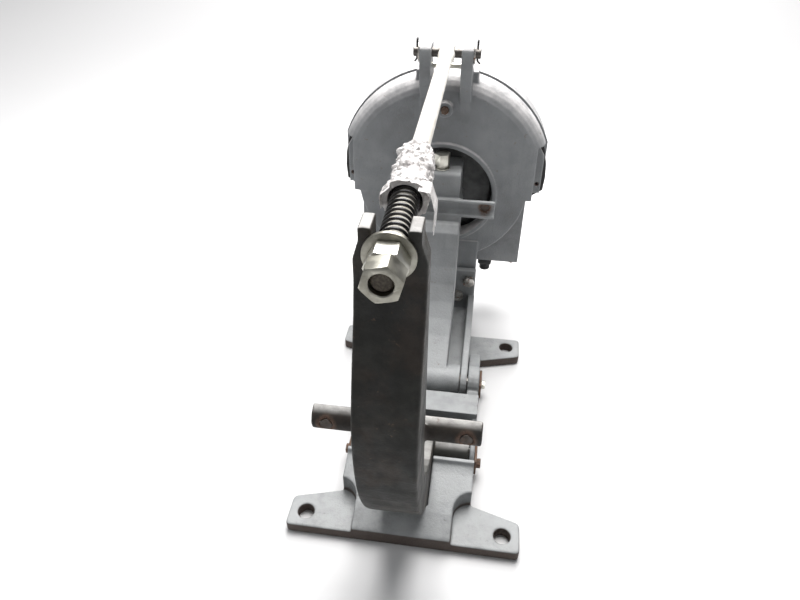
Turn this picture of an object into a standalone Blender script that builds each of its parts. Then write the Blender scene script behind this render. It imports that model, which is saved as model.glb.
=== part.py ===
"""Spring-set, magnet-released drum brake for a 584 mm (23 inch) wheel, without shoes and wheel.

The frame is in metres with +Z up.  The origin is the centre of the four foundation bolt
holes, on the underside of the base.  X runs along the wheel's axle.  Y runs from the outer
lever (-Y) to the magnet (+Y).
"""

import math

import bmesh
import bpy
from mathutils import Matrix, Vector

# ---------------------------------------------------------------- clearances
GAP = 0.0003            # between pieces that rest on, or are cut by, each other
SIDE_PLAY = 0.0010      # between a lever's hub and what stands beside it

# ---------------------------------------------------------------- wheel space
WHEEL_HEIGHT = 0.433
SADDLE_Y = 0.372        # axle to the centre line of a shoe saddle
SADDLE_HALF = 0.145     # half the length of a saddle arm
SADDLE_OUTER = 0.025
SADDLE_INNER = 0.017
DOWEL_RADIUS = 0.011
DOWEL_X = 0.119
DOWEL_SINK = 0.0015     # a dowel's end below the crest of its saddle arm

# ---------------------------------------------------------------- base
HOLE_X = 0.216
HOLE_Y = 0.304
HOLE_RADIUS = 0.018
FOOT_THICKNESS = 0.027
FOOT_EDGE = 0.0375      # hole centre to the foot's outer edges
FOOT_CORNER = 0.010
BODY_HALF = 0.145
NOSE_HALF = 0.107
NOTCH_START = 0.238     # distance of the side notches from the middle
NOSE_TOP = 0.036
NOSE_EDGE = 0.168       # where the nose ends at the front hub
DECK_TOP = 0.100
DECK_HALF = 0.033       # half the deck's length between the two hubs
TROUGH_FLOOR = 0.008
REAR_TOP = 0.037
FRONT_CHEEK_INNER = 0.133
REAR_CHEEK_INNER = 0.1145
SLOT_FRONT = 0.278      # distance of the lever slot's front end from the middle
TOE_CLEARANCE = 0.012   # outer lever's toe to the front end of its slot

# ---------------------------------------------------------------- hinges
PIN_RADIUS = 0.016
PIN_HEIGHT = 0.058
PIN_Y = 0.115           # distance of both hinge pins from the middle
FRONT_PIN_Y = -PIN_Y
REAR_PIN_Y = PIN_Y
BUSH_WALL = 0.005
HUB_RADIUS = 0.044
EYE_THICKNESS = 0.018
REAR_HUB_HALF = REAR_CHEEK_INNER - EYE_THICKNESS - 3 * SIDE_PLAY
FRONT_HUB_HALF = FRONT_CHEEK_INNER - SIDE_PLAY
KEEPER_THICKNESS = 0.006
KEEPER_LENGTH = 0.060
KEEPER_WIDTH = 0.046
KEEPER_BOLT_RADIUS = 0.006
KEEPER_BOLT_OUT = 0.9375 * PIN_RADIUS   # keeper bolt beyond its pin
KEEPER_BOLT_DOWN = 1.125 * PIN_RADIUS   # keeper bolt below its pin
KEEPER_BOLT_DEPTH = 0.011

# ---------------------------------------------------------------- levers
LEVER_HALF = 0.050
FORK_HALF = 0.041
FORK_TOP = 0.851
FORK_FACE = -0.430
FORK_THICKNESS = 0.041
STEM_HALF = 0.0575
STEM_ARC = 0.345        # wheel centre to the stem's wheel side
STEM_DEPTH = 0.085
BLOCK_HALF = 0.052
BLOCK_FRONT = 0.385
BLOCK_ROUND = 0.014

# ---------------------------------------------------------------- tie rod and adjuster
ROD_HEIGHT = 0.814
ROD_RADIUS = 0.016
CLEVIS_Y = 0.420
CLEVIS_RADIUS = 0.011
EYE_RADIUS = 0.022
SPRING_WIRE = 0.0045
SPRING_RADIUS = 0.0202     # centre line of the take-up spring's wire
SPRING_TURNS = 13
SPRING_LENGTH = 0.158
COLLAR_RADIUS = 0.0230
COLLAR_THICKNESS = 0.008
WASHER_RADIUS = 0.0365
WASHER_THICKNESS = 0.006
WASHER_FACE = FORK_FACE - GAP - WASHER_THICKNESS    # the washer's outer face
NUT_FLATS = 0.0508
NUT_HEIGHT = 0.030
NUT_TURN = math.radians(30)
JAM_NUT_TURN = math.radians(44)
ROD_RECESS = 0.006          # rod end inside the jam nut's outer face
WRAP_LENGTH = 0.165
WRAP_OVERLAP = 0.018        # wrap over the end of the spring
WRAP_RADIUS = 0.027
WRAP_FLARE = 0.037

# ---------------------------------------------------------------- magnet case
ARCH_CENTRE = 0.475
ARCH_RADIUS = 0.280
ARCH_FLAT = 0.228           # where the front face starts to round over
CASE_FRONT = 0.440
CASE_BACK = 0.500
CASE_ROUND_Y = 0.042
LOWER_CENTRE = 0.450
LOWER_RADIUS = 0.225
LOWER_FRONT = 0.448
SLOPE_BOTTOM = 0.335          # where the sloping face below the step ends
STEP_HEIGHT = 0.430
SIDE_FLAT = 0.240           # half the width between the flats cut beside the lugs
SIDE_FLAT_TOP = 0.578
LUG_HALF = 0.2625
LUG_TOP = 0.540
LUG_THICKNESS = 0.013
LUG_HOLE_X = 0.2515
LUG_HOLE_Z = 0.460
NECK_HALF = 0.110
NECK_BOTTOM = 0.062
NECK_FRONT = LOWER_FRONT - 0.0025
BORE_CENTRE = 0.436
BORE_RADIUS = 0.135
BLOCK_TOP = BORE_CENTRE + BORE_RADIUS - 0.047  # the levelling bolt stands inside the bore
RING_WIDTH = 0.012
RING_HEIGHT = 0.006
EAR_INNER = 0.035
EAR_OUTER = 0.062
EAR_DEPTH = 0.030            # half the ear's depth at the clevis pin
EAR_RISE = 0.020
BOSS_HEIGHT_Z = 0.673
BOSS_RADIUS = 0.020
BOSS_LENGTH = 0.012
CROSS_BAR_RADIUS = 0.0065
CROSS_BAR_Y = 0.448
CROSS_BAR_Z = 0.776

GASKET = 0.0035
GASKET_INSET = 0.007
PLATE_THICKNESS = 0.006
PLATE_RIM = 0.284
PLATE_MARGIN = 0.004
BOX_HALF = 0.230
BOX_BOTTOM = 0.190
COVER_BACK = 0.580
COVER_WALL = 0.006
COVER_INSET = 0.004

# ---------------------------------------------------------------- magnet
AIR_GAP = 0.006
ARMATURE_RADIUS = BORE_RADIUS - 0.007
ARMATURE_THICKNESS = 0.018
ARMATURE_FRONT = 0.490
CORE_RADIUS = 0.146
CORE_LENGTH = 0.050
CORE_BACK_WALL = 0.012
CORE_FLANGE = 0.160
CORE_FLANGE_THICKNESS = 0.008
COIL_OUTER = 0.106
COIL_INNER = 0.062
COIL_FRONT_SET_BACK = 0.008
CORE_BORE = 0.034
TORQUE_WIRE = 0.007
TORQUE_RADIUS = 0.026
TORQUE_TURNS = 5

# ---------------------------------------------------------------- hinge bracket
BRACKET_FLOOR = 0.047
BRACKET_FLOOR_THICKNESS = 0.014
BRACKET_RIB_TOP = 0.112
FLANGE_THICKNESS = 0.020
FLANGE_TOP = 0.200
BRACKET_BOLTS = ((0.092, 0.166), (0.064, 0.112))

# ---------------------------------------------------------------- fineness
ROUND = 28
SMALL_ROUND = 12
LARGE_ROUND = 56
DOME_ROUND = 80
COIL_POINTS = 8         # points in each turn of a spring

# ---------------------------------------------------------------- colours
PAINT = (0.27, 0.29, 0.31, 1.0)
DARK_PAINT = (0.075, 0.08, 0.085, 1.0)
ZINC = (0.72, 0.71, 0.62, 1.0)
BRIGHT_STEEL = (0.80, 0.78, 0.74, 1.0)
BLACK_STEEL = (0.02, 0.02, 0.022, 1.0)
RUST = (0.20, 0.10, 0.06, 1.0)
BRONZE = (0.45, 0.28, 0.12, 1.0)
COPPER = (0.35, 0.12, 0.05, 1.0)
WRAP_WHITE = (0.85, 0.82, 0.78, 1.0)
RUBBER = (0.03, 0.03, 0.03, 1.0)

for existing in list(bpy.data.objects):
    bpy.data.objects.remove(existing, do_unlink=True)


def new_collection(name):
    """Make a collection in the scene."""
    collection = bpy.data.collections.new(name)
    bpy.context.scene.collection.children.link(collection)
    return collection


PARTS = new_collection("drum_brake")
CUTTERS = new_collection("cutters")


# ---------------------------------------------------------------- building tools
def add_object(name, mesh):
    """Put a mesh in the scene as a construction piece, hidden from renders."""
    obj = bpy.data.objects.new(name, mesh)
    CUTTERS.objects.link(obj)
    obj.display_type = "WIRE"
    obj.hide_render = True
    return obj


def finish(obj, name, colour, roughness, metallic, smooth=30.0):
    """Turn a construction piece into a named part with its own material."""
    CUTTERS.objects.unlink(obj)
    PARTS.objects.link(obj)
    obj.name = name
    obj.display_type = "TEXTURED"
    obj.hide_render = False
    material = bpy.data.materials.new(name)
    material.use_nodes = True
    shader = material.node_tree.nodes["Principled BSDF"]
    shader.inputs["Base Color"].default_value = colour
    shader.inputs["Roughness"].default_value = roughness
    shader.inputs["Metallic"].default_value = metallic
    obj.data.materials.clear()
    obj.data.materials.append(material)
    if obj.type == "MESH":
        obj.data.shade_smooth()
        obj.data.set_sharp_from_angle(angle=math.radians(smooth))
    return obj


def mesh_from(build, name):
    """Run a bmesh builder and return its mesh."""
    work = bmesh.new()
    build(work)
    bmesh.ops.recalc_face_normals(work, faces=work.faces)
    mesh = bpy.data.meshes.new(name)
    work.to_mesh(mesh)
    work.free()
    return mesh


def box(low, high, bevel=0.0, segments=2):
    """Make a box between two corners, with all its edges rounded by bevel."""
    low, high = Vector(low), Vector(high)

    def build(work):
        size = Matrix.Diagonal((*(high - low), 1.0))
        place = Matrix.Translation((low + high) / 2)
        bmesh.ops.create_cube(work, size=1.0, matrix=place @ size)
        if bevel:
            bmesh.ops.bevel(work, geom=work.edges[:], offset=bevel, segments=segments,
                            affect="EDGES", profile=0.5)

    return add_object("box", mesh_from(build, "box"))


def cylinder(radius, start, end, steps=ROUND, turn=0.0, end_radius=None):
    """Make a cylinder, prism or cone between two points."""
    start, end = Vector(start), Vector(end)
    axis = end - start
    place = Matrix.Translation((start + end) / 2) @ axis.to_track_quat("Z", "Y").to_matrix().to_4x4()

    def build(work):
        bmesh.ops.create_cone(work, cap_ends=True, segments=steps, radius1=radius,
                              radius2=radius if end_radius is None else end_radius,
                              depth=axis.length, matrix=place @ Matrix.Rotation(turn, 4, "Z"))

    return add_object("cylinder", mesh_from(build, "cylinder"))


def hexagon(flats, start, end, turn=0.0, chamfer=0.08, steps=SMALL_ROUND):
    """Make a hexagonal head or nut, with the corners of its end face chamfered."""
    radius = flats / math.sqrt(3.0)
    blank = cylinder(radius, start, end, 6, turn)
    reach = Vector(end) - Vector(start)
    cap = cylinder(radius * 1.25, Vector(start) - reach * 0.02, Vector(end) + reach * 0.001,
                   steps, turn, radius * (1.0 - chamfer))
    modify(blank, cap, "INTERSECT")
    return blank


def outline_solid(points, lower, upper, axis):
    """Extrude a closed outline along X, Y or Z between two values.

    The outline's pairs are (y, z) along X, (x, z) along Y and (x, y) along Z.
    """
    curve = bpy.data.curves.new("outline", "CURVE")
    curve.dimensions = "2D"
    curve.fill_mode = "BOTH"
    curve.extrude = abs(upper - lower) / 2
    spline = curve.splines.new("POLY")
    spline.points.add(len(points) - 1)
    for point, (first, second) in zip(spline.points, points):
        point.co = (first, second, 0.0, 1.0)
    spline.use_cyclic_u = True
    flat = bpy.data.objects.new("outline", curve)
    CUTTERS.objects.link(flat)
    bpy.context.view_layer.update()
    evaluated = flat.evaluated_get(bpy.context.evaluated_depsgraph_get())
    mesh = bpy.data.meshes.new_from_object(evaluated)
    bpy.data.objects.remove(flat)
    middle = (lower + upper) / 2
    frames = {
        "X": Matrix(((0, 0, 1, middle), (1, 0, 0, 0), (0, 1, 0, 0), (0, 0, 0, 1))),
        "Y": Matrix(((1, 0, 0, 0), (0, 0, 1, middle), (0, 1, 0, 0), (0, 0, 0, 1))),
        "Z": Matrix.Translation((0, 0, middle)),
    }
    work = bmesh.new()
    work.from_mesh(mesh)
    bmesh.ops.remove_doubles(work, verts=work.verts, dist=0.00001)
    bmesh.ops.transform(work, matrix=frames[axis], verts=work.verts)
    bmesh.ops.recalc_face_normals(work, faces=work.faces)
    work.to_mesh(mesh)
    work.free()
    return add_object("outline_solid", mesh)


def turned(profile, centre_z, steps=ROUND):
    """Turn a closed profile of (radius, y) pairs about the Y axis at a height."""
    def build(work):
        rim = [work.verts.new((radius, y, centre_z)) for radius, y in profile]
        edges = [work.edges.new((rim[i], rim[(i + 1) % len(rim)])) for i in range(len(rim))]
        bmesh.ops.spin(work, geom=rim + edges, cent=(0, 0, centre_z), axis=(0, 1, 0),
                       angle=math.tau, steps=steps, use_merge=True)
        bmesh.ops.remove_doubles(work, verts=work.verts, dist=0.00001)
        bmesh.ops.dissolve_degenerate(work, edges=work.edges, dist=0.00001)

    return add_object("turned", mesh_from(build, "turned"))


def modify(obj, other, operation):
    """Add an exact Boolean of another piece."""
    boolean = obj.modifiers.new(operation.lower(), "BOOLEAN")
    boolean.operation = operation
    boolean.solver = "EXACT"
    boolean.object = other
    return obj


def cut(obj, *cutters):
    """Cut pieces away."""
    for cutter in cutters:
        modify(obj, cutter, "DIFFERENCE")
    return obj


def join(obj, *others):
    """Join pieces into one."""
    for other in others:
        modify(obj, other, "UNION")
    return obj


def coil_spring(name, centre_z, start_y, end_y, radius, wire, turns):
    """Make a helical spring about the Y direction, with its ends wound closed."""
    total = turns * COIL_POINTS
    low, high = start_y + wire / 2 + GAP, end_y - wire / 2 - GAP
    curve = bpy.data.curves.new(name, "CURVE")
    curve.dimensions = "3D"
    curve.bevel_depth = wire / 2
    curve.bevel_resolution = 2
    curve.use_fill_caps = True
    spline = curve.splines.new("POLY")
    spline.points.add(total)
    for step, point in enumerate(spline.points):
        share = step / total
        eased = min(1.0, max(0.0, (share * turns - 0.75) / (turns - 1.5)))
        closed = wire * 1.02 * (min(share * turns, 0.75) / 0.75 * 0.75)
        closed += wire * 1.02 * 0.75 * max(0.0, (share * turns - turns + 0.75) / 0.75)
        free = high - low - 2 * wire * 1.02 * 0.75
        angle = math.tau * turns * share
        point.co = (radius * math.cos(angle), low + closed + free * eased,
                    centre_z + radius * math.sin(angle), 1.0)
    obj = bpy.data.objects.new(name, curve)
    CUTTERS.objects.link(obj)
    return obj


def arc(centre, radius, first, last, steps):
    """Points of an arc in degrees, ends included."""
    points = []
    for step in range(steps + 1):
        angle = math.radians(first + (last - first) * step / steps)
        points.append((centre[0] + radius * math.cos(angle), centre[1] + radius * math.sin(angle)))
    return points


def smooth_path(points, steps):
    """Points of a smooth curve through the given ones (Catmull-Rom), ends included."""
    padded = [points[0]] + list(points) + [points[-1]]
    path = []
    for a, b, c, d in zip(padded, padded[1:], padded[2:], padded[3:]):
        for step in range(steps):
            t = step / steps
            path.append(tuple(
                0.5 * (2 * b[k] + (c[k] - a[k]) * t + (2 * a[k] - 5 * b[k] + 4 * c[k] - d[k]) * t ** 2
                       + (3 * b[k] - a[k] - 3 * c[k] + d[k]) * t ** 3) for k in (0, 1)))
    path.append(points[-1])
    return path


def rounded_outline(points, radius, steps=3):
    """Round every corner of a convex or concave outline."""
    result = []
    count = len(points)
    for index, corner in enumerate(points):
        corner = Vector(corner)
        before = Vector(points[index - 1]) - corner
        after = Vector(points[(index + 1) % count]) - corner
        reach = min(radius, before.length * 0.45, after.length * 0.45)
        start, end = corner + before.normalized() * reach, corner + after.normalized() * reach
        for step in range(steps + 1):
            t = step / steps
            result.append(tuple(start * (1 - t) ** 2 + corner * 2 * t * (1 - t) + end * t ** 2))
    return result


def x_range(first, second, side):
    """Two X values mirrored to a side and put in rising order."""
    return sorted((first * side, second * side))


# ---------------------------------------------------------------- base
def foot(side, end):
    """One bolt-down foot, as a plate with a slanting inner edge."""
    outer_x, outer_y = HOLE_X + FOOT_EDGE, HOLE_Y + FOOT_EDGE
    plan = [(0.060, outer_y), (outer_x, outer_y), (outer_x, HOLE_Y - 0.035),
            (BODY_HALF, NOTCH_START), (0.060, NOTCH_START)]
    plan = [(x * side, y * end) for x, y in rounded_outline(plan, FOOT_CORNER)]
    return outline_solid(plan, 0.0, FOOT_THICKNESS, "Z")


def cheek(side, end, inner):
    """One cheek that holds a hinge pin, with a round crest about the pin."""
    crest = arc((PIN_Y, PIN_HEIGHT), HUB_RADIUS, 165, 10, 10)
    outline = [(DECK_HALF - 0.010, 0.004), (DECK_HALF - 0.010, DECK_TOP - 0.012)] + crest
    outline += [(NOSE_EDGE + 0.050, REAR_TOP + 0.030), (NOTCH_START + 0.004, REAR_TOP - 0.008),
                (NOTCH_START + 0.004, 0.004)]
    outline = [(y * end, z) for y, z in outline]
    return outline_solid(outline, *x_range(inner, BODY_HALF - 0.0004, side), "X")


def keeper_bolt_centre(pin_y):
    """Where a keeper bolt goes in beside its pin, as (y, z)."""
    return pin_y + math.copysign(KEEPER_BOLT_OUT, pin_y), PIN_HEIGHT - KEEPER_BOLT_DOWN


def base_casting():
    """The base: nose, deck, hub troughs, cheeks, feet, lever slot and bores."""
    outer_y = HOLE_Y + FOOT_EDGE
    profile = [(-outer_y, 0.0), (-outer_y, NOSE_TOP)]
    profile += smooth_path([(-outer_y + 0.006, NOSE_TOP + 0.004), (-0.290, 0.060), (-0.240, 0.074),
                            (-0.200, 0.083), (-NOSE_EDGE - 0.014, 0.091)], 2)
    profile += [(-NOSE_EDGE - 0.010, DECK_TOP), (-NOSE_EDGE, DECK_TOP), (-NOSE_EDGE, TROUGH_FLOOR),
                (-DECK_HALF, TROUGH_FLOOR), (-DECK_HALF, DECK_TOP), (DECK_HALF, DECK_TOP),
                (DECK_HALF, TROUGH_FLOOR), (NOSE_EDGE, TROUGH_FLOOR), (NOSE_EDGE + 0.008, REAR_TOP),
                (outer_y, REAR_TOP - 0.006), (outer_y, 0.0)]
    base = outline_solid(profile, -BODY_HALF, BODY_HALF, "X")
    for side in (1, -1):
        join(base, cheek(side, -1, FRONT_CHEEK_INNER), cheek(side, 1, REAR_CHEEK_INNER))

    notch_radius = BODY_HALF + 0.002 - NOSE_HALF
    for side in (1, -1):
        for end in (1, -1):
            plan = [(NOSE_HALF, outer_y + 0.020)]
            plan += arc((NOSE_HALF + notch_radius, NOTCH_START + notch_radius), notch_radius, 180, 270, 6)
            plan += [(BODY_HALF + 0.030, NOTCH_START), (BODY_HALF + 0.030, outer_y + 0.020)]
            plan = [(x * side, y * end) for x, y in plan]
            cut(base, outline_solid(plan, -0.010, 0.200, "Z"))
    for side in (1, -1):
        for end in (1, -1):
            join(base, foot(side, end))
    for side in (1, -1):
        for end in (1, -1):
            centre = (HOLE_X * side, HOLE_Y * end)
            cut(base, cylinder(HOLE_RADIUS, (*centre, -0.010), (*centre, 0.060), ROUND))

    slot_half = LEVER_HALF + SIDE_PLAY
    cut(base, box((-slot_half, -SLOT_FRONT, TROUGH_FLOOR), (slot_half, -NOSE_EDGE + 0.010, 0.200)))
    for pin_y in (FRONT_PIN_Y, REAR_PIN_Y):
        cut(base, cylinder(PIN_RADIUS + GAP, (-0.200, pin_y, PIN_HEIGHT), (0.200, pin_y, PIN_HEIGHT)))
        bolt_y, bolt_z = keeper_bolt_centre(pin_y)
        for side in (1, -1):
            cut(base, cylinder(KEEPER_BOLT_RADIUS + GAP,
                               ((BODY_HALF - KEEPER_BOLT_DEPTH) * side, bolt_y, bolt_z),
                               ((BODY_HALF + 0.020) * side, bolt_y, bolt_z), SMALL_ROUND))
    return finish(base, "base_casting", PAINT, 0.55, 0.0)


def hinge_pin(name, pin_y):
    """A plain hinge pin."""
    pin = cylinder(PIN_RADIUS, (-BODY_HALF, pin_y, PIN_HEIGHT), (BODY_HALF, pin_y, PIN_HEIGHT))
    return finish(pin, name, BRIGHT_STEEL, 0.35, 1.0)


def keeper(name, pin_y, side):
    """A plate over a pin's end, held by one bolt into the cheek beside the pin."""
    inner = BODY_HALF + GAP
    low, high = x_range(inner, inner + KEEPER_THICKNESS, side)
    bolt_y, bolt_z = keeper_bolt_centre(pin_y)
    middle_y, middle_z = (pin_y + bolt_y) / 2, (PIN_HEIGHT + bolt_z) / 2
    plate = box((low, middle_y - KEEPER_LENGTH / 2, middle_z - KEEPER_WIDTH / 2),
                (high, middle_y + KEEPER_LENGTH / 2, middle_z + KEEPER_WIDTH / 2), 0.0015, 1)
    cut(plate, cylinder(KEEPER_BOLT_RADIUS + GAP, (inner * side * 0.9, bolt_y, bolt_z),
                        (inner * side * 1.2, bolt_y, bolt_z), SMALL_ROUND))
    return finish(plate, name, RUST, 0.8, 0.2)


def keeper_bolt(name, pin_y, side, colour):
    """The bolt that holds a keeper plate to its cheek."""
    seat = BODY_HALF + KEEPER_THICKNESS + 2 * GAP
    bolt_y, bolt_z = keeper_bolt_centre(pin_y)
    head = hexagon(0.020, (seat * side, bolt_y, bolt_z), ((seat + 0.010) * side, bolt_y, bolt_z))
    shank = cylinder(KEEPER_BOLT_RADIUS, ((BODY_HALF - KEEPER_BOLT_DEPTH + 0.002) * side, bolt_y, bolt_z),
                     ((seat + 0.004) * side, bolt_y, bolt_z), SMALL_ROUND)
    return finish(join(head, shank), name, colour, 0.5, 0.8)


# ---------------------------------------------------------------- levers
def saddle(obj, centre_y, facing):
    """Add a shoe saddle to a lever: a half pipe that opens towards the wheel."""
    arm = cylinder(SADDLE_OUTER, (-SADDLE_HALF, centre_y, WHEEL_HEIGHT),
                   (SADDLE_HALF, centre_y, WHEEL_HEIGHT))
    join(obj, arm)
    reach = SADDLE_HALF + 0.020
    lip = centre_y + facing * 0.002
    low, high = sorted((lip, lip + facing * 0.060))
    cut(obj, box((-reach, low, WHEEL_HEIGHT - 0.040), (reach, high, WHEEL_HEIGHT + 0.040)))
    cut(obj, cylinder(SADDLE_INNER, (-reach, centre_y, WHEEL_HEIGHT), (reach, centre_y, WHEEL_HEIGHT)))
    for side in (1, -1):
        cut(obj, cylinder(DOWEL_RADIUS + GAP, (DOWEL_X * side, centre_y - 0.040, WHEEL_HEIGHT),
                          (DOWEL_X * side, centre_y + 0.040, WHEEL_HEIGHT)))
    return obj


def saddle_dowels(lever, centre_y, facing):
    """The dowels driven into a saddle arm's cross holes, one at each end."""
    for hand, side in (("right", 1), ("left", -1)):
        x = DOWEL_X * side
        low, high = sorted((centre_y - facing * (SADDLE_INNER + GAP),
                            centre_y - facing * (SADDLE_OUTER - DOWEL_SINK)))
        dowel = cylinder(DOWEL_RADIUS, (x, low, WHEEL_HEIGHT), (x, high, WHEEL_HEIGHT))
        finish(dowel, f"{lever}_saddle_dowel_{hand}", RUST, 0.8, 0.3)


def outer_lever():
    """The bowed outer lever with its fork, saddle and hub."""
    face = [(FORK_FACE, FORK_TOP), (FORK_FACE, ROD_HEIGHT - WASHER_RADIUS - 0.006)]
    face += smooth_path([(FORK_FACE - 0.012, 0.720), (-0.470, 0.645), (-0.496, 0.560), (-0.501, 0.485),
                         (-0.490, 0.400), (-0.465, 0.325), (-0.422, 0.245), (-0.356, 0.150),
                         (-SLOT_FRONT + TOE_CLEARANCE, 0.056)], 2)
    hub = arc((FRONT_PIN_Y, PIN_HEIGHT), HUB_RADIUS, 252, 450, 12)
    wheel_side = smooth_path([(-0.215, 0.142), (-0.290, 0.195), (-0.348, 0.270), (-0.382, 0.350),
                              (-0.388, 0.433), (-0.390, 0.520), (FORK_FACE + FORK_THICKNESS, 0.640)], 2)
    profile = face + hub + wheel_side + [(FORK_FACE + FORK_THICKNESS, FORK_TOP)]
    lever = outline_solid(profile, -LEVER_HALF, LEVER_HALF, "X")
    join(lever, cylinder(HUB_RADIUS, (-FRONT_HUB_HALF, FRONT_PIN_Y, PIN_HEIGHT),
                         (FRONT_HUB_HALF, FRONT_PIN_Y, PIN_HEIGHT), LARGE_ROUND))
    shoulder_low, shoulder_high = FORK_TOP - 0.050, FORK_TOP - 0.020
    for side in (1, -1):
        plan = [(LEVER_HALF, shoulder_low), (FORK_HALF, shoulder_high), (FORK_HALF, FORK_TOP + 0.020),
                (LEVER_HALF + 0.020, FORK_TOP + 0.020), (LEVER_HALF + 0.020, shoulder_low)]
        plan = [(x * side, z) for x, z in plan]
        cut(lever, outline_solid(plan, FORK_FACE - 0.100, FORK_FACE + 0.100, "Y"))
    slot = SPRING_RADIUS + SPRING_WIRE / 2 + SIDE_PLAY
    throat = arc((0.0, ROD_HEIGHT), slot, 180, 360, 6)
    throat += [(slot, FORK_TOP + 0.020), (-slot, FORK_TOP + 0.020)]
    cut(lever, outline_solid(throat, FORK_FACE - 0.100, FORK_FACE + 0.100, "Y"))
    saddle(lever, -SADDLE_Y, 1)
    cut(lever, cylinder(PIN_RADIUS + BUSH_WALL + 2 * GAP, (-0.200, FRONT_PIN_Y, PIN_HEIGHT),
                        (0.200, FRONT_PIN_Y, PIN_HEIGHT)))
    return finish(lever, "outer_lever", DARK_PAINT, 0.6, 0.0)


def bushing(name, pin_y, low, high):
    """A bronze sleeve on a hinge pin."""
    sleeve = cylinder(PIN_RADIUS + BUSH_WALL + GAP, (low, pin_y, PIN_HEIGHT), (high, pin_y, PIN_HEIGHT))
    cut(sleeve, cylinder(PIN_RADIUS + GAP, (low - 0.010, pin_y, PIN_HEIGHT),
                         (high + 0.010, pin_y, PIN_HEIGHT)))
    return finish(sleeve, name, BRONZE, 0.4, 1.0)


def inner_lever():
    """The inner lever: wide hub, curved stem, saddle, and the block that carries the armature."""
    wheel = (0.0, WHEEL_HEIGHT)
    hub = arc((REAR_PIN_Y, PIN_HEIGHT), HUB_RADIUS, 8, -262, 14)
    stem = arc(wheel, STEM_ARC, -64, -10, 7)
    block_back = ARMATURE_FRONT - GAP
    back = [(block_back, BLOCK_TOP - 0.090), (block_back - 0.015, 0.405)]
    back += arc(wheel, STEM_ARC + STEM_DEPTH, -11, -44, 5) + [(0.230, 0.096)]
    lever = outline_solid(stem + [(0.400, WHEEL_HEIGHT), (block_back, WHEEL_HEIGHT)] + back[1:] + hub,
                          -STEM_HALF, STEM_HALF, "X")
    join(lever, cylinder(HUB_RADIUS, (-REAR_HUB_HALF, REAR_PIN_Y, PIN_HEIGHT),
                         (REAR_HUB_HALF, REAR_PIN_Y, PIN_HEIGHT), LARGE_ROUND))
    top = [(BLOCK_FRONT, WHEEL_HEIGHT - 0.040)]
    top += arc((BLOCK_FRONT + BLOCK_ROUND, BLOCK_TOP - BLOCK_ROUND), BLOCK_ROUND, 180, 90, 4)
    top += [(block_back, BLOCK_TOP), (block_back, WHEEL_HEIGHT - 0.040)]
    join(lever, outline_solid(top, -BLOCK_HALF, BLOCK_HALF, "X"))
    saddle(lever, SADDLE_Y, -1)
    cut(lever, cylinder(PIN_RADIUS + BUSH_WALL + 2 * GAP, (-0.200, REAR_PIN_Y, PIN_HEIGHT),
                        (0.200, REAR_PIN_Y, PIN_HEIGHT)))
    cut(lever, cylinder(0.012 + GAP, (0, BLOCK_FRONT + 0.032, BLOCK_TOP - 0.062),
                        (0, BLOCK_FRONT + 0.032, BLOCK_TOP + 0.020), SMALL_ROUND))
    for x, z in armature_bolt_places():
        cut(lever, cylinder(0.006 + GAP, (x, block_back - 0.030, z), (x, block_back + 0.010, z),
                            SMALL_ROUND))
    return finish(lever, "inner_lever", PAINT, 0.5, 0.0)


def levelling_bolt():
    """The bolt that stands in the top of the inner lever, with its flat and lock washers."""
    y, low = BLOCK_FRONT + 0.032, BLOCK_TOP
    for name, radius, thickness, finish_colour in (("levelling_washer", 0.0205, 0.004, ZINC),
                                                   ("levelling_lock_washer", 0.0170, 0.007, RUST)):
        washer = cylinder(radius, (0, y, low + GAP), (0, y, low + GAP + thickness), ROUND)
        cut(washer, cylinder(0.012 + GAP, (0, y, low - 0.010), (0, y, low + 0.030), SMALL_ROUND))
        finish(washer, name, finish_colour, 0.4, 0.9)
        low += GAP + thickness
    head = hexagon(0.0360, (0, y, low + GAP), (0, y, low + GAP + 0.030), math.radians(50), steps=ROUND)
    join(head, cylinder(0.012, (0, y, BLOCK_TOP - 0.060), (0, y, low + GAP + 0.004), SMALL_ROUND))
    return finish(head, "levelling_bolt", ZINC, 0.3, 1.0)


def armature_bolt_places():
    """Centres (x, z) of the bolts that hold the armature to the inner lever's block."""
    return [(0.032 * i, BORE_CENTRE + 0.044 * k) for i in (1, -1) for k in (1, -1)]


def armature():
    """The round armature and its four bolts, let in flush on the magnet's side."""
    front, back = ARMATURE_FRONT, ARMATURE_FRONT + ARMATURE_THICKNESS
    disc = cylinder(ARMATURE_RADIUS, (0, front, BORE_CENTRE), (0, back, BORE_CENTRE), LARGE_ROUND)
    for x, z in armature_bolt_places():
        cut(disc, cylinder(0.006 + GAP, (x, front - 0.010, z), (x, back + 0.010, z), SMALL_ROUND))
        cut(disc, cylinder(0.0105, (x, back - 0.009, z), (x, back + 0.010, z), SMALL_ROUND))
    finish(disc, "armature", BLACK_STEEL, 0.6, 0.6)
    for number, (x, z) in enumerate(armature_bolt_places(), 1):
        head = cylinder(0.0098, (x, back - 0.0087, z), (x, back - 0.001, z), SMALL_ROUND)
        join(head, cylinder(0.006, (x, front - 0.028, z), (x, back - 0.005, z), SMALL_ROUND))
        finish(head, f"armature_bolt_{number}", BLACK_STEEL, 0.5, 0.9)


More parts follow.
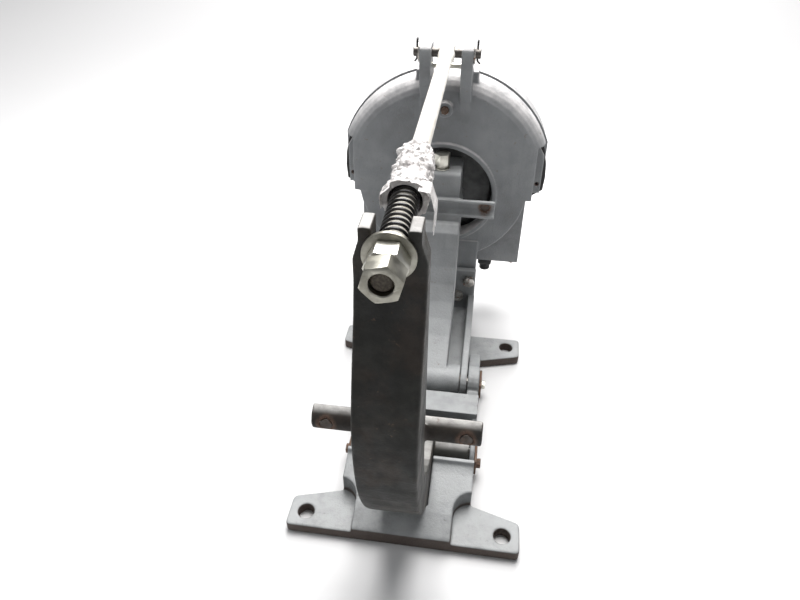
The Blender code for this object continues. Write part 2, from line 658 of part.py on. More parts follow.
# ---------------------------------------------------------------- magnet case
def ear(side):
    """One clevis ear, blended down into the case's face."""
    front, back, top = CLEVIS_Y - EAR_DEPTH, CLEVIS_Y + EAR_DEPTH, ROD_HEIGHT + EAR_RISE
    profile = arc((front + 0.012, top - 0.012), 0.012, 180, 90, 3)
    profile += arc((back - 0.012, top - 0.012), 0.012, 90, 0, 3)
    profile += [(back, 0.790), (CASE_BACK - 0.010, 0.752), (CASE_BACK - 0.010, 0.640),
                (CASE_FRONT + 0.004, 0.625)]
    profile += smooth_path([(CASE_FRONT - 0.004, 0.690), (CLEVIS_Y - 0.018, 0.740), (front, 0.785)], 2)
    return outline_solid(profile, *x_range(EAR_INNER, EAR_OUTER, side), "X")


def case_casting():
    """The magnet case: domed arch, lower round, neck, lugs, ears, bore ring and boss."""
    round_over = []
    for step in range(7):
        angle = math.pi / 2 * step / 6
        round_over.append((ARCH_FLAT + (ARCH_RADIUS - ARCH_FLAT) * math.sin(angle),
                           CASE_FRONT + CASE_ROUND_Y * (1 - math.cos(angle))))
    case = turned([(0.0, CASE_FRONT - 0.002)] + round_over + [(ARCH_RADIUS, CASE_BACK), (0.0, CASE_BACK)],
                  ARCH_CENTRE, DOME_ROUND)
    cut(case, box((-0.400, 0.300, 0.0), (0.400, 0.700, STEP_HEIGHT)))
    for side in (1, -1):
        low, high = x_range(SIDE_FLAT, ARCH_RADIUS + 0.050, side)
        cut(case, box((low, 0.300, STEP_HEIGHT - 0.020), (high, 0.700, SIDE_FLAT_TOP)))
        lug = [(SIDE_FLAT - 0.020, STEP_HEIGHT + 0.003), (LUG_HALF, STEP_HEIGHT + 0.003),
               (LUG_HALF, LUG_TOP), (SIDE_FLAT, SIDE_FLAT_TOP), (SIDE_FLAT - 0.020, SIDE_FLAT_TOP)]
        join(case, outline_solid([(x * side, z) for x, z in lug], CASE_BACK - LUG_THICKNESS,
                                 CASE_BACK - 0.0012, "Y"))
    face = CASE_FRONT + 0.0004
    lower = cylinder(LOWER_RADIUS, (0, face, LOWER_CENTRE), (0, CASE_BACK - 0.0004, LOWER_CENTRE),
                     LARGE_ROUND)
    slope = [(face, STEP_HEIGHT + 0.002), (LOWER_FRONT, SLOPE_BOTTOM), (LOWER_FRONT, 0.100),
             (CASE_FRONT - 0.100, 0.100), (CASE_FRONT - 0.100, STEP_HEIGHT + 0.002)]
    cut(lower, outline_solid(slope, -0.300, 0.300, "X"))
    join(case, lower)
    join(case, box((-NECK_HALF, NECK_FRONT, NECK_BOTTOM),
                   (NECK_HALF, CASE_BACK - 0.0008, LOWER_CENTRE - 0.160), 0.002, 1))
    for side in (1, -1):
        join(case, ear(side))
        pad_low, pad_high = x_range(EAR_OUTER - 0.004, EAR_OUTER + 0.014, side)
        join(case, box((pad_low, CASE_BACK - 0.044, 0.725), (pad_high, CASE_BACK - 0.0016, 0.7615)))
    join(case, cylinder(BOSS_RADIUS, (0, CASE_FRONT - BOSS_LENGTH, BOSS_HEIGHT_Z),
                        (0, CASE_FRONT + 0.030, BOSS_HEIGHT_Z)))
    join(case, cylinder(BORE_RADIUS + RING_WIDTH, (0, CASE_FRONT - RING_HEIGHT, BORE_CENTRE),
                        (0, CASE_FRONT + 0.030, BORE_CENTRE), LARGE_ROUND))
    cut(case, cylinder(BORE_RADIUS, (0, 0.300, BORE_CENTRE), (0, 0.700, BORE_CENTRE), LARGE_ROUND))
    cut(case, cylinder(CORE_RADIUS + 0.002, (0, CASE_BACK - 0.016, BORE_CENTRE),
                       (0, 0.700, BORE_CENTRE), LARGE_ROUND))
    cut(case, cylinder(0.010 + GAP, (0, CASE_FRONT - 0.050, BOSS_HEIGHT_Z),
                       (0, CASE_FRONT + 0.015, BOSS_HEIGHT_Z), SMALL_ROUND))
    for side in (1, -1):
        cut(case, cylinder(0.005, (LUG_HOLE_X * side, 0.400, LUG_HOLE_Z),
                           (LUG_HOLE_X * side, 0.600, LUG_HOLE_Z), SMALL_ROUND))
    cut(case, cylinder(CLEVIS_RADIUS + GAP, (-0.200, CLEVIS_Y, ROD_HEIGHT), (0.200, CLEVIS_Y, ROD_HEIGHT),
                       SMALL_ROUND))
    bar_reach = EAR_INNER + 0.006
    cut(case, cylinder(CROSS_BAR_RADIUS + GAP, (-bar_reach, CROSS_BAR_Y, CROSS_BAR_Z),
                       (bar_reach, CROSS_BAR_Y, CROSS_BAR_Z), 16))
    for x, z in BRACKET_BOLTS:
        for side in (1, -1):
            cut(case, cylinder(0.010 + GAP, (x * side, 0.400, z), (x * side, CASE_BACK - 0.012, z),
                               SMALL_ROUND))
    return finish(case, "magnet_case", PAINT, 0.5, 0.0)


def plate_outline(inset):
    """The outline shared by the back plate and the cover behind it, drawn in by an inset."""
    rim, side = PLATE_RIM - inset, LUG_HALF + PLATE_MARGIN - inset
    start = math.degrees(math.acos(side / rim))
    step_top, step_low = STEP_HEIGHT + 0.005 + inset, STEP_HEIGHT - 0.005 + inset
    box_side, bottom = BOX_HALF - inset, BOX_BOTTOM + inset
    outline = arc((0.0, ARCH_CENTRE), rim, start, 180 - start, 28)
    return outline + [(-side, step_top), (-box_side, step_low), (-box_side, bottom),
                      (box_side, bottom), (box_side, step_low), (side, step_top)]


def case_stack():
    """Gasket, back plate and rear cover behind the case, with the cover's screws."""
    gasket_back = CASE_BACK + GAP + GASKET
    gasket = outline_solid(arc((0.0, ARCH_CENTRE), ARCH_RADIUS - GASKET_INSET, -8, 188, 24)
                           + arc((0.0, LOWER_CENTRE), LOWER_RADIUS - GASKET_INSET, 195, 345, 12),
                           CASE_BACK + GAP, gasket_back, "Y")
    hole = cylinder(CORE_RADIUS + 0.006, (0, 0.400, BORE_CENTRE), (0, 0.700, BORE_CENTRE), LARGE_ROUND)
    cut(gasket, hole)
    finish(gasket, "case_gasket", RUBBER, 0.9, 0.0)

    plate_front, plate_back = gasket_back + GAP, gasket_back + GAP + PLATE_THICKNESS
    plate = outline_solid(plate_outline(0.0), plate_front, plate_back, "Y")
    plate_hole = cylinder(CORE_RADIUS + 0.002, (0, 0.400, BORE_CENTRE), (0, 0.700, BORE_CENTRE), LARGE_ROUND)
    cut(plate, plate_hole)
    finish(plate, "back_plate", PAINT, 0.55, 0.0)

    cover_front = plate_back + GAP
    cover = outline_solid(plate_outline(COVER_INSET), cover_front, COVER_BACK, "Y")
    hollow = outline_solid(plate_outline(COVER_INSET + COVER_WALL), cover_front - 0.010,
                           COVER_BACK - COVER_WALL, "Y")
    cut(cover, hollow)
    cut(cover, cylinder(0.009 + GAP, (0, 0.500, BORE_CENTRE), (0, 0.700, BORE_CENTRE), SMALL_ROUND))
    finish(cover, "rear_cover", PAINT, 0.5, 0.0)

    for name, side in (("cover_screw_right", 1), ("cover_screw_left", -1)):
        x, y = (BOX_HALF - 0.018) * side, cover_front + 0.009
        bottom = BOX_BOTTOM + COVER_INSET
        screw = hexagon(0.013, (x, y, bottom - GAP), (x, y, bottom - GAP - 0.012))
        finish(screw, name, RUST, 0.7, 0.6)
    outlet_top = BOX_BOTTOM + COVER_INSET - GAP
    outlet = box((0.114, cover_front + 0.002, outlet_top - 0.048),
                 (0.154, cover_front + 0.036, outlet_top), 0.004, 1)
    cut(outlet, cylinder(0.009, (0.135, cover_front + 0.020, outlet_top - 0.060),
                         (0.135, cover_front + 0.020, outlet_top - 0.008), SMALL_ROUND))
    finish(outlet, "lead_outlet", RUBBER, 0.7, 0.0)


def magnet():
    """The pot-shaped core, its coil, the torque spring and its adjusting screw."""
    face = ARMATURE_FRONT + ARMATURE_THICKNESS + AIR_GAP
    back = face + CORE_LENGTH
    plate_back = CASE_BACK + 2 * GAP + GASKET + PLATE_THICKNESS
    core = cylinder(CORE_RADIUS, (0, face, BORE_CENTRE), (0, back, BORE_CENTRE), LARGE_ROUND)
    join(core, cylinder(CORE_FLANGE, (0, plate_back + GAP, BORE_CENTRE),
                        (0, plate_back + GAP + CORE_FLANGE_THICKNESS, BORE_CENTRE), LARGE_ROUND))
    pocket_back = back - CORE_BACK_WALL
    cut(core, turned([(COIL_INNER - 0.002, face - 0.010), (COIL_OUTER + 0.002, face - 0.010),
                      (COIL_OUTER + 0.002, pocket_back), (COIL_INNER - 0.002, pocket_back)],
                     BORE_CENTRE, ROUND))
    cut(core, cylinder(CORE_BORE, (0, face - 0.010, BORE_CENTRE), (0, pocket_back, BORE_CENTRE)))
    cut(core, cylinder(0.009 + GAP, (0, pocket_back - 0.010, BORE_CENTRE), (0, back + 0.010, BORE_CENTRE),
                       SMALL_ROUND))
    cut(core, cylinder(CORE_RADIUS - 0.006, (0, face - 0.010, BORE_CENTRE), (0, face, BORE_CENTRE),
                       LARGE_ROUND))
    finish(core, "magnet_core", BLACK_STEEL, 0.5, 0.8)

    coil = turned([(COIL_INNER, face + COIL_FRONT_SET_BACK), (COIL_OUTER, face + COIL_FRONT_SET_BACK),
                   (COIL_OUTER, pocket_back - GAP), (COIL_INNER, pocket_back - GAP)], BORE_CENTRE, ROUND)
    finish(coil, "magnet_coil", COPPER, 0.5, 0.3)

    screw_seat = pocket_back - 0.004
    screw = cylinder(0.030, (0, screw_seat - 0.004, BORE_CENTRE), (0, screw_seat, BORE_CENTRE))
    join(screw, cylinder(0.009, (0, screw_seat - 0.002, BORE_CENTRE), (0, COVER_BACK + 0.016, BORE_CENTRE),
                         SMALL_ROUND))
    finish(screw, "torque_adjusting_screw", ZINC, 0.35, 1.0)
    nut_front = COVER_BACK + GAP
    nut = hexagon(0.030, (0, nut_front, BORE_CENTRE), (0, nut_front + 0.010, BORE_CENTRE))
    cut(nut, cylinder(0.009 + GAP, (0, 0.500, BORE_CENTRE), (0, 0.700, BORE_CENTRE), SMALL_ROUND))
    finish(nut, "torque_lock_nut", ZINC, 0.35, 1.0)

    spring = coil_spring("torque_spring", BORE_CENTRE, ARMATURE_FRONT + ARMATURE_THICKNESS,
                         screw_seat - 0.004, TORQUE_RADIUS, TORQUE_WIRE, TORQUE_TURNS)
    finish(spring, "torque_spring", BLACK_STEEL, 0.4, 0.9)


def case_trim():
    """Boss plug, cross bar, clevis pin, washers and cotter pins."""
    plug = hexagon(0.017, (0, CASE_FRONT - BOSS_LENGTH - GAP, BOSS_HEIGHT_Z),
                   (0, CASE_FRONT - BOSS_LENGTH - GAP - 0.006, BOSS_HEIGHT_Z))
    join(plug, cylinder(0.010, (0, CASE_FRONT - BOSS_LENGTH - 0.004, BOSS_HEIGHT_Z),
                        (0, CASE_FRONT + 0.010, BOSS_HEIGHT_Z), SMALL_ROUND))
    finish(plug, "case_plug", RUST, 0.75, 0.4)
    reach = EAR_INNER + 0.006 - GAP
    bar = cylinder(CROSS_BAR_RADIUS, (-reach, CROSS_BAR_Y, CROSS_BAR_Z),
                   (reach, CROSS_BAR_Y, CROSS_BAR_Z), 16)
    finish(bar, "ear_cross_bar", ZINC, 0.35, 1.0)

    washer_out = EAR_OUTER + GAP + 0.004
    cotter_x = washer_out + 0.004
    half = cotter_x + 0.008
    pin = cylinder(CLEVIS_RADIUS, (-half, CLEVIS_Y, ROD_HEIGHT), (half, CLEVIS_Y, ROD_HEIGHT), SMALL_ROUND)
    for side in (1, -1):
        cut(pin, cylinder(0.0028, (cotter_x * side, CLEVIS_Y, ROD_HEIGHT - 0.030),
                          (cotter_x * side, CLEVIS_Y, ROD_HEIGHT + 0.030), 12))
    finish(pin, "clevis_pin", BRIGHT_STEEL, 0.35, 1.0)
    for name, side in (("right", 1), ("left", -1)):
        low, high = x_range(EAR_OUTER + GAP, washer_out, side)
        washer = cylinder(0.023, (low, CLEVIS_Y, ROD_HEIGHT), (high, CLEVIS_Y, ROD_HEIGHT))
        cut(washer, cylinder(CLEVIS_RADIUS + GAP, (low - 0.010, CLEVIS_Y, ROD_HEIGHT),
                             (high + 0.010, CLEVIS_Y, ROD_HEIGHT)))
        finish(washer, f"clevis_washer_{name}", BRIGHT_STEEL, 0.4, 1.0)
        finish(cotter_pin(cotter_x * side, side), f"cotter_pin_{name}", BLACK_STEEL, 0.5, 0.9)


def cotter_pin(x, side):
    """A bent cotter pin: an eye above the pin, a leg through it, and a spread end below."""
    points = [(0.0, 0.0135, 0.0225), (0.0, 0.008, 0.0275), (0.0, 0.001, 0.0245), (0.0, 0.0, 0.018),
              (0.0, 0.0, 0.006), (0.0, 0.0, -0.006), (0.0, 0.0, -0.016), (0.003, 0.004, -0.021),
              (0.006, 0.012, -0.026)]
    curve = bpy.data.curves.new("cotter", "CURVE")
    curve.dimensions = "3D"
    curve.bevel_depth = 0.0022
    curve.bevel_resolution = 2
    curve.use_fill_caps = True
    spline = curve.splines.new("POLY")
    spline.points.add(len(points) - 1)
    for point, (out, along, up) in zip(spline.points, points):
        point.co = (x + out * side, CLEVIS_Y + along, ROD_HEIGHT + up, 1.0)
    obj = bpy.data.objects.new("cotter", curve)
    CUTTERS.objects.link(obj)
    return obj


def hinge_bracket():
    """The channel-shaped bracket that hangs the magnet case on the rear hinge pin."""
    inner = REAR_HUB_HALF + SIDE_PLAY
    outer = inner + EYE_THICKNESS
    floor_top = BRACKET_FLOOR + BRACKET_FLOOR_THICKNESS
    flange_back = NECK_FRONT - GAP
    flange_front = flange_back - FLANGE_THICKNESS
    clear = REAR_PIN_Y + HUB_RADIUS + 0.008
    bracket = box((-outer + 0.001, flange_front, NECK_BOTTOM),
                  (outer - 0.001, flange_back, FLANGE_TOP), 0.002, 1)
    join(bracket, box((-inner - 0.004, clear, BRACKET_FLOOR),
                      (inner + 0.004, flange_front + 0.006, floor_top)))
    rib = arc((REAR_PIN_Y, PIN_HEIGHT), HUB_RADIUS - 0.001, 60, 290, 14)
    rib += [(clear, BRACKET_FLOOR - 0.001), (flange_front + 0.008, BRACKET_FLOOR - 0.001),
            (flange_front + 0.008, BRACKET_RIB_TOP), (clear + 0.010, BRACKET_RIB_TOP)]
    for side in (1, -1):
        join(bracket, outline_solid(rib, *x_range(inner, outer, side), "X"))
    cut(bracket, cylinder(PIN_RADIUS + BUSH_WALL + 2 * GAP, (-0.200, REAR_PIN_Y, PIN_HEIGHT),
                          (0.200, REAR_PIN_Y, PIN_HEIGHT)))
    for x, z in BRACKET_BOLTS:
        for side in (1, -1):
            cut(bracket, cylinder(0.010 + GAP, (x * side, 0.350, z), (x * side, 0.470, z), SMALL_ROUND))
    finish(bracket, "hinge_bracket", PAINT, 0.55, 0.0)
    for row, (x, z) in zip(("upper", "lower"), BRACKET_BOLTS):
        for name, side in (("right", 1), ("left", -1)):
            seat = flange_front - GAP
            head = hexagon(0.030, (x * side, seat, z), (x * side, seat - 0.012, z), 0.3)
            join(head, cylinder(0.010, (x * side, seat - 0.004, z), (x * side, CASE_BACK - 0.014, z),
                                SMALL_ROUND))
            finish(head, f"bracket_bolt_{row}_{name}", BRIGHT_STEEL, 0.45, 0.9)
    for name, side in (("right", 1), ("left", -1)):
        bushing(f"bracket_bushing_{name}", REAR_PIN_Y, *x_range(inner, outer, side))


# ---------------------------------------------------------------- tie rod and adjuster
def y_rod(radius, start, end, steps=ROUND, turn=0.0):
    """A cylinder along the tie rod's axis."""
    return cylinder(radius, (0, start, ROD_HEIGHT), (0, end, ROD_HEIGHT), steps, turn)


def tie_rod():
    """The tie rod with its eye, the spring seat, the spring and the wrap."""
    nut_end = WASHER_FACE - 2 * (NUT_HEIGHT + GAP)
    rod = y_rod(ROD_RADIUS, nut_end + ROD_RECESS, CLEVIS_Y)
    join(rod, cylinder(EYE_RADIUS, (-0.017, CLEVIS_Y, ROD_HEIGHT), (0.017, CLEVIS_Y, ROD_HEIGHT)))
    cut(rod, cylinder(CLEVIS_RADIUS + GAP, (-0.060, CLEVIS_Y, ROD_HEIGHT), (0.060, CLEVIS_Y, ROD_HEIGHT),
                      SMALL_ROUND))
    finish(rod, "tie_rod", BRIGHT_STEEL, 0.45, 0.2)

    spring_front = FORK_FACE
    spring_back = spring_front + SPRING_LENGTH
    spring = coil_spring("take_up_spring", ROD_HEIGHT, spring_front, spring_back, SPRING_RADIUS,
                         SPRING_WIRE, SPRING_TURNS)
    finish(spring, "take_up_spring", BLACK_STEEL, 0.35, 0.8)
    collar = y_rod(COLLAR_RADIUS, spring_back, spring_back + COLLAR_THICKNESS)
    cut(collar, y_rod(ROD_RADIUS + GAP, spring_back - 0.010, spring_back + 0.020))
    finish(collar, "spring_collar", BLACK_STEEL, 0.5, 0.8)

    bore = COLLAR_RADIUS + 0.0015
    front = spring_back - WRAP_OVERLAP
    collar_back = spring_back + COLLAR_THICKNESS + 0.002
    end = front + WRAP_LENGTH
    profile = [(bore, front), (WRAP_FLARE, front + 0.002), (WRAP_FLARE - 0.003, front + 0.030),
               (WRAP_RADIUS + 0.002, front + 0.060), (WRAP_RADIUS, front + 0.095),
               (WRAP_RADIUS + 0.001, end - 0.020), (WRAP_RADIUS - 0.008, end),
               (ROD_RADIUS + 2 * GAP, end), (ROD_RADIUS + 2 * GAP, collar_back), (bore, collar_back)]
    finish(turned(profile, ROD_HEIGHT, ROUND), "rod_wrap", WRAP_WHITE, 0.9, 0.0)


def thrust_washer():
    """The washer between the fork and the nuts."""
    washer = y_rod(WASHER_RADIUS, WASHER_FACE, FORK_FACE - GAP, LARGE_ROUND)
    cut(washer, y_rod(ROD_RADIUS + 2 * GAP, WASHER_FACE - 0.010, FORK_FACE + 0.010))
    finish(washer, "thrust_washer", ZINC, 0.35, 1.0)


def rod_nuts():
    """The adjusting nut and the jam nut outside it."""
    face = WASHER_FACE - GAP
    for name, turn in (("adjusting_nut", NUT_TURN), ("jam_nut", JAM_NUT_TURN)):
        nut = hexagon(NUT_FLATS, (0, face, ROD_HEIGHT), (0, face - NUT_HEIGHT, ROD_HEIGHT), turn, steps=24)
        cut(nut, y_rod(ROD_RADIUS + GAP, face - NUT_HEIGHT - 0.010, face + 0.010))
        finish(nut, name, ZINC, 0.3, 1.0)
        face -= NUT_HEIGHT + GAP


# ---------------------------------------------------------------- assembly
def moving_group(name, place, build, parent=None):
    """Build pieces and hang them on an empty that stands on their joint's axis."""
    earlier = set(PARTS.objects)
    build()
    axis = bpy.data.objects.new(name, None)
    axis.empty_display_size = 0.05
    axis.location = place
    PARTS.objects.link(axis)
    bpy.context.view_layer.update()
    for piece in set(PARTS.objects) - earlier - {axis}:
        piece.parent = axis
        piece.matrix_parent_inverse = axis.matrix_world.inverted()
    if parent:
        axis.parent = parent
        axis.matrix_parent_inverse = parent.matrix_world.inverted()
    return axis


def build_base():
    """The base casting with its hinge pins and their keepers."""
    base_casting()
    for place, pin_y in (("front", FRONT_PIN_Y), ("rear", REAR_PIN_Y)):
        hinge_pin(f"{place}_hinge_pin", pin_y)
        for hand, side in (("right", 1), ("left", -1)):
            keeper(f"{place}_keeper_{hand}", pin_y, side)
            keeper_bolt(f"{place}_keeper_bolt_{hand}", pin_y, side,
                        ZINC if (place, hand) == ("rear", "right") else RUST)


def build_outer_lever():
    """The outer lever, its dowels and its bushing."""
    outer_lever()
    saddle_dowels("outer", -SADDLE_Y, 1)
    bushing("outer_lever_bushing", FRONT_PIN_Y, -FRONT_HUB_HALF, FRONT_HUB_HALF)


def build_inner_lever():
    """The inner lever with its dowels, bushing, levelling bolt and armature."""
    inner_lever()
    saddle_dowels("inner", SADDLE_Y, -1)
    bushing("inner_lever_bushing", REAR_PIN_Y, -REAR_HUB_HALF, REAR_HUB_HALF)
    levelling_bolt()
    armature()


def build_magnet_case():
    """The magnet case with all that is inside it, on it and under it."""
    case_casting()
    case_stack()
    magnet()
    case_trim()
    hinge_bracket()


build_base()
moving_group("outer_lever_axis", (0, FRONT_PIN_Y, PIN_HEIGHT), build_outer_lever)
moving_group("inner_lever_axis", (0, REAR_PIN_Y, PIN_HEIGHT), build_inner_lever)
case_axis = moving_group("magnet_case_axis", (0, REAR_PIN_Y, PIN_HEIGHT), build_magnet_case)
rod_axis = moving_group("tie_rod_axis", (0, CLEVIS_Y, ROD_HEIGHT), tie_rod, case_axis)
washer_axis = moving_group("thrust_washer_axis", (0, FORK_FACE, ROD_HEIGHT), thrust_washer, rod_axis)
moving_group("nut_axis", (0, FORK_FACE, ROD_HEIGHT), rod_nuts, washer_axis)
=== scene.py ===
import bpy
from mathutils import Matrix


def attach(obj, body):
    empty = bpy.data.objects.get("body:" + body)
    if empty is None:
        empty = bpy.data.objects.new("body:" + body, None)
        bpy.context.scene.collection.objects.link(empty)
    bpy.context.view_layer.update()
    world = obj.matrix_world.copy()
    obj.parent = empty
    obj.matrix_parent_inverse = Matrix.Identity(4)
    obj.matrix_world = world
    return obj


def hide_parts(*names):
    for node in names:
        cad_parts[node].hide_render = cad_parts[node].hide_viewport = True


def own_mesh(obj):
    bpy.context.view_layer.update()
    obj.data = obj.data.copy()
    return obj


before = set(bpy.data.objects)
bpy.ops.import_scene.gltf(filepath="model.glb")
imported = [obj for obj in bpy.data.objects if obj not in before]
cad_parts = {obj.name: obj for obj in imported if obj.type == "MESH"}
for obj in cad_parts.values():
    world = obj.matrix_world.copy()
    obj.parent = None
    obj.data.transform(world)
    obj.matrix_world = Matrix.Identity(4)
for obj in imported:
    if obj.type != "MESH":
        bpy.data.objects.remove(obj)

"""The finished drum brake: cast pieces, hardware, finishes, light and camera round the CAD frame."""

import logging
import math
from dataclasses import dataclass, field
from enum import Enum

import bpy
from mathutils import Matrix, Vector

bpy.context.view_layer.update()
LOG = logging.getLogger("drum_brake")

Colour = tuple[float, float, float]
Point = tuple[float, float, float]
Profile = list[tuple[float, float]]


class Body(Enum):
    """The moving groups of the brake."""

    BASE = "base"
    OUTER_LEVER = "outer_lever"
    INNER_LEVER = "inner_lever"
    MAGNET_CASE = "magnet_case"
    TIE_ROD = "tie_rod"
    THRUST_WASHER = "thrust_washer"
    ROD_NUTS = "rod_nuts"


class Axis(Enum):
    """The direction a turned piece's length runs, with the matrix that lays +Z along it."""

    X = "X"
    Y = "Y"
    Z = "Z"

    def matrix(self) -> Matrix:
        """Returns the turn from +Z to this axis."""
        if self is Axis.X:
            return Matrix.Rotation(math.pi / 2, 4, "Y")
        if self is Axis.Y:
            return Matrix.Rotation(-math.pi / 2, 4, "X")
        return Matrix.Identity(4)


# ---------------------------------------------------------------- shared sizes
COPY_MERGE = 0.00001        # CAD points closer than this are one point
GAP = 0.0003                # clearance between pieces, as in the CAD
WHEEL_HEIGHT = 0.433
BORE_CENTRE = 0.436
ROD_HEIGHT = 0.814
CLEVIS_Y = 0.420
SIDES = (("right", 1.0), ("left", -1.0))
TO_FRONT = Matrix.Rotation(math.pi / 2, 4, "X")
TO_BACK = Matrix.Rotation(-math.pi / 2, 4, "X")


# ---------------------------------------------------------------- finishes
class Recipe:
    """A material under construction, with short ways to add the nodes that the finishes share."""

    def __init__(self, name: str) -> None:
        """Start a material.

        Args:
            name: what the material is called.
        """
        self.material = bpy.data.materials.new(name)
        self.material.use_nodes = True
        self.tree = self.material.node_tree
        self.shader = self.tree.nodes["Principled BSDF"]
        self.coords = self.tree.nodes.new("ShaderNodeTexCoord").outputs["Object"]
        self.geometry = self.tree.nodes.new("ShaderNodeNewGeometry")

    def put(self, socket: bpy.types.NodeSocket, value: object) -> None:
        """Link a socket into an input, or set the input to a number or a colour.

        Args:
            socket: the input.
            value: another node's output, a number, or a colour.
        """
        if isinstance(value, bpy.types.NodeSocket):
            self.tree.links.new(value, socket)
        elif isinstance(value, tuple) and len(value) == 3 and socket.type == "RGBA":
            socket.default_value = (*value, 1.0)
        else:
            socket.default_value = value

    def noise(self, scale: float, detail: float = 4.0, roughness: float = 0.55,
              stretch: Point = (1.0, 1.0, 1.0), shift: float = 0.0) -> bpy.types.NodeSocket:
        """Cloudy noise on the piece's own coordinates.

        Args:
            scale: lumps in a metre.
            detail: octaves.
            roughness: how strong the finer octaves are.
            stretch: scale of each axis before the noise.
            shift: moves the pattern, so that two noises differ.

        Returns:
            The noise's value, about 0.5 on average.
        """
        place = self.tree.nodes.new("ShaderNodeMapping")
        self.put(place.inputs["Vector"], self.coords)
        place.inputs["Scale"].default_value = stretch
        place.inputs["Location"].default_value = (shift, shift * 0.7, shift * 1.3)
        node = self.tree.nodes.new("ShaderNodeTexNoise")
        self.put(node.inputs["Vector"], place.outputs["Vector"])
        node.inputs["Scale"].default_value = scale
        node.inputs["Detail"].default_value = detail
        node.inputs["Roughness"].default_value = roughness
        return node.outputs["Fac"]

    def sum(self, operation: str, first: object, second: object) -> bpy.types.NodeSocket:
        """A Math node.

        Args:
            operation: its operation.
            first: socket or number.
            second: socket or number.

        Returns:
            The result.
        """
        node = self.tree.nodes.new("ShaderNodeMath")
        node.operation = operation
        self.put(node.inputs[0], first)
        self.put(node.inputs[1], second)
        return node.outputs[0]

    def span(self, value: object, low: float, high: float, bottom: float = 0.0,
             top: float = 1.0) -> bpy.types.NodeSocket:
        """Smoothly carry a value from one range to another, held at its ends.

        Args:
            value: socket to carry over.
            low: value that gives bottom.
            high: value that gives top.
            bottom: result at low.
            top: result at high.

        Returns:
            The carried value.
        """
        node = self.tree.nodes.new("ShaderNodeMapRange")
        node.interpolation_type = "SMOOTHSTEP"
        self.put(node.inputs["Value"], value)
        for socket, number in zip(node.inputs[1:5], (low, high, bottom, top)):
            socket.default_value = number
        return node.outputs["Result"]

    def mix(self, share: object, first: object, second: object) -> bpy.types.NodeSocket:
        """Mix two colours.

        Args:
            share: how much of the second, 0 to 1.
            first: colour or socket.
            second: colour or socket.

        Returns:
            The mixed colour.
        """
        node = self.tree.nodes.new("ShaderNodeMix")
        node.data_type = "RGBA"
        self.put(node.inputs["Factor"], share)
        self.put(node.inputs[6], first)
        self.put(node.inputs[7], second)
        return node.outputs[2]

    def axis_value(self, source: bpy.types.NodeSocket, axis: str) -> bpy.types.NodeSocket:
        """One axis of a vector.

        Args:
            source: the vector.
            axis: X, Y or Z.

        Returns:
            That component.
        """
        node = self.tree.nodes.new("ShaderNodeSeparateXYZ")
        self.put(node.inputs[0], source)
        return node.outputs[axis]

    def facing_up(self, low: float = 0.35, high: float = 0.95) -> bpy.types.NodeSocket:
        """1 on faces that look up, 0 on the rest."""
        return self.span(self.axis_value(self.geometry.outputs["Normal"], "Z"), low, high)

    def edges(self, low: float = 0.52, high: float = 0.60) -> bpy.types.NodeSocket:
        """1 on outside edges, 0 on flats."""
        return self.span(self.geometry.outputs["Pointiness"], low, high)

    def near(self, place: Point, radius: float, fade: float,
             ignore: str = "") -> bpy.types.NodeSocket:
        """1 inside a radius of a place, fading to 0 outside it.

        Args:
            place: centre, in metres.
            radius: where it starts to fade.
            fade: width of the fade.
            ignore: axes left out of the distance, so "Z" makes a pillar.

        Returns:
            The mask.
        """
        keep = tuple(0.0 if axis in ignore else 1.0 for axis in "XYZ")
        flat = self.tree.nodes.new("ShaderNodeVectorMath")
        flat.operation = "MULTIPLY"
        self.put(flat.inputs[0], self.coords)
        flat.inputs[1].default_value = keep
        gap = self.tree.nodes.new("ShaderNodeVectorMath")
        gap.operation = "DISTANCE"
        self.put(gap.inputs[0], flat.outputs["Vector"])
        gap.inputs[1].default_value = tuple(a * b for a, b in zip(place, keep))
        return self.span(gap.outputs["Value"], radius, radius + fade, 1.0, 0.0)

    def relief(self, height: object, depth: float, strength: float = 1.0) -> None:
        """Add bump under what is already there.

        Args:
            height: socket, 0 to 1.
            depth: what a height of 1 stands for, in metres.
            strength: share of it that shows.
        """
        node = self.tree.nodes.new("ShaderNodeBump")
        node.inputs["Distance"].default_value = depth
        node.inputs["Strength"].default_value = strength
        self.put(node.inputs["Height"], height)
        normal = self.shader.inputs["Normal"]
        if normal.is_linked:
            self.put(node.inputs["Normal"], normal.links[0].from_socket)
        self.put(normal, node.outputs["Normal"])


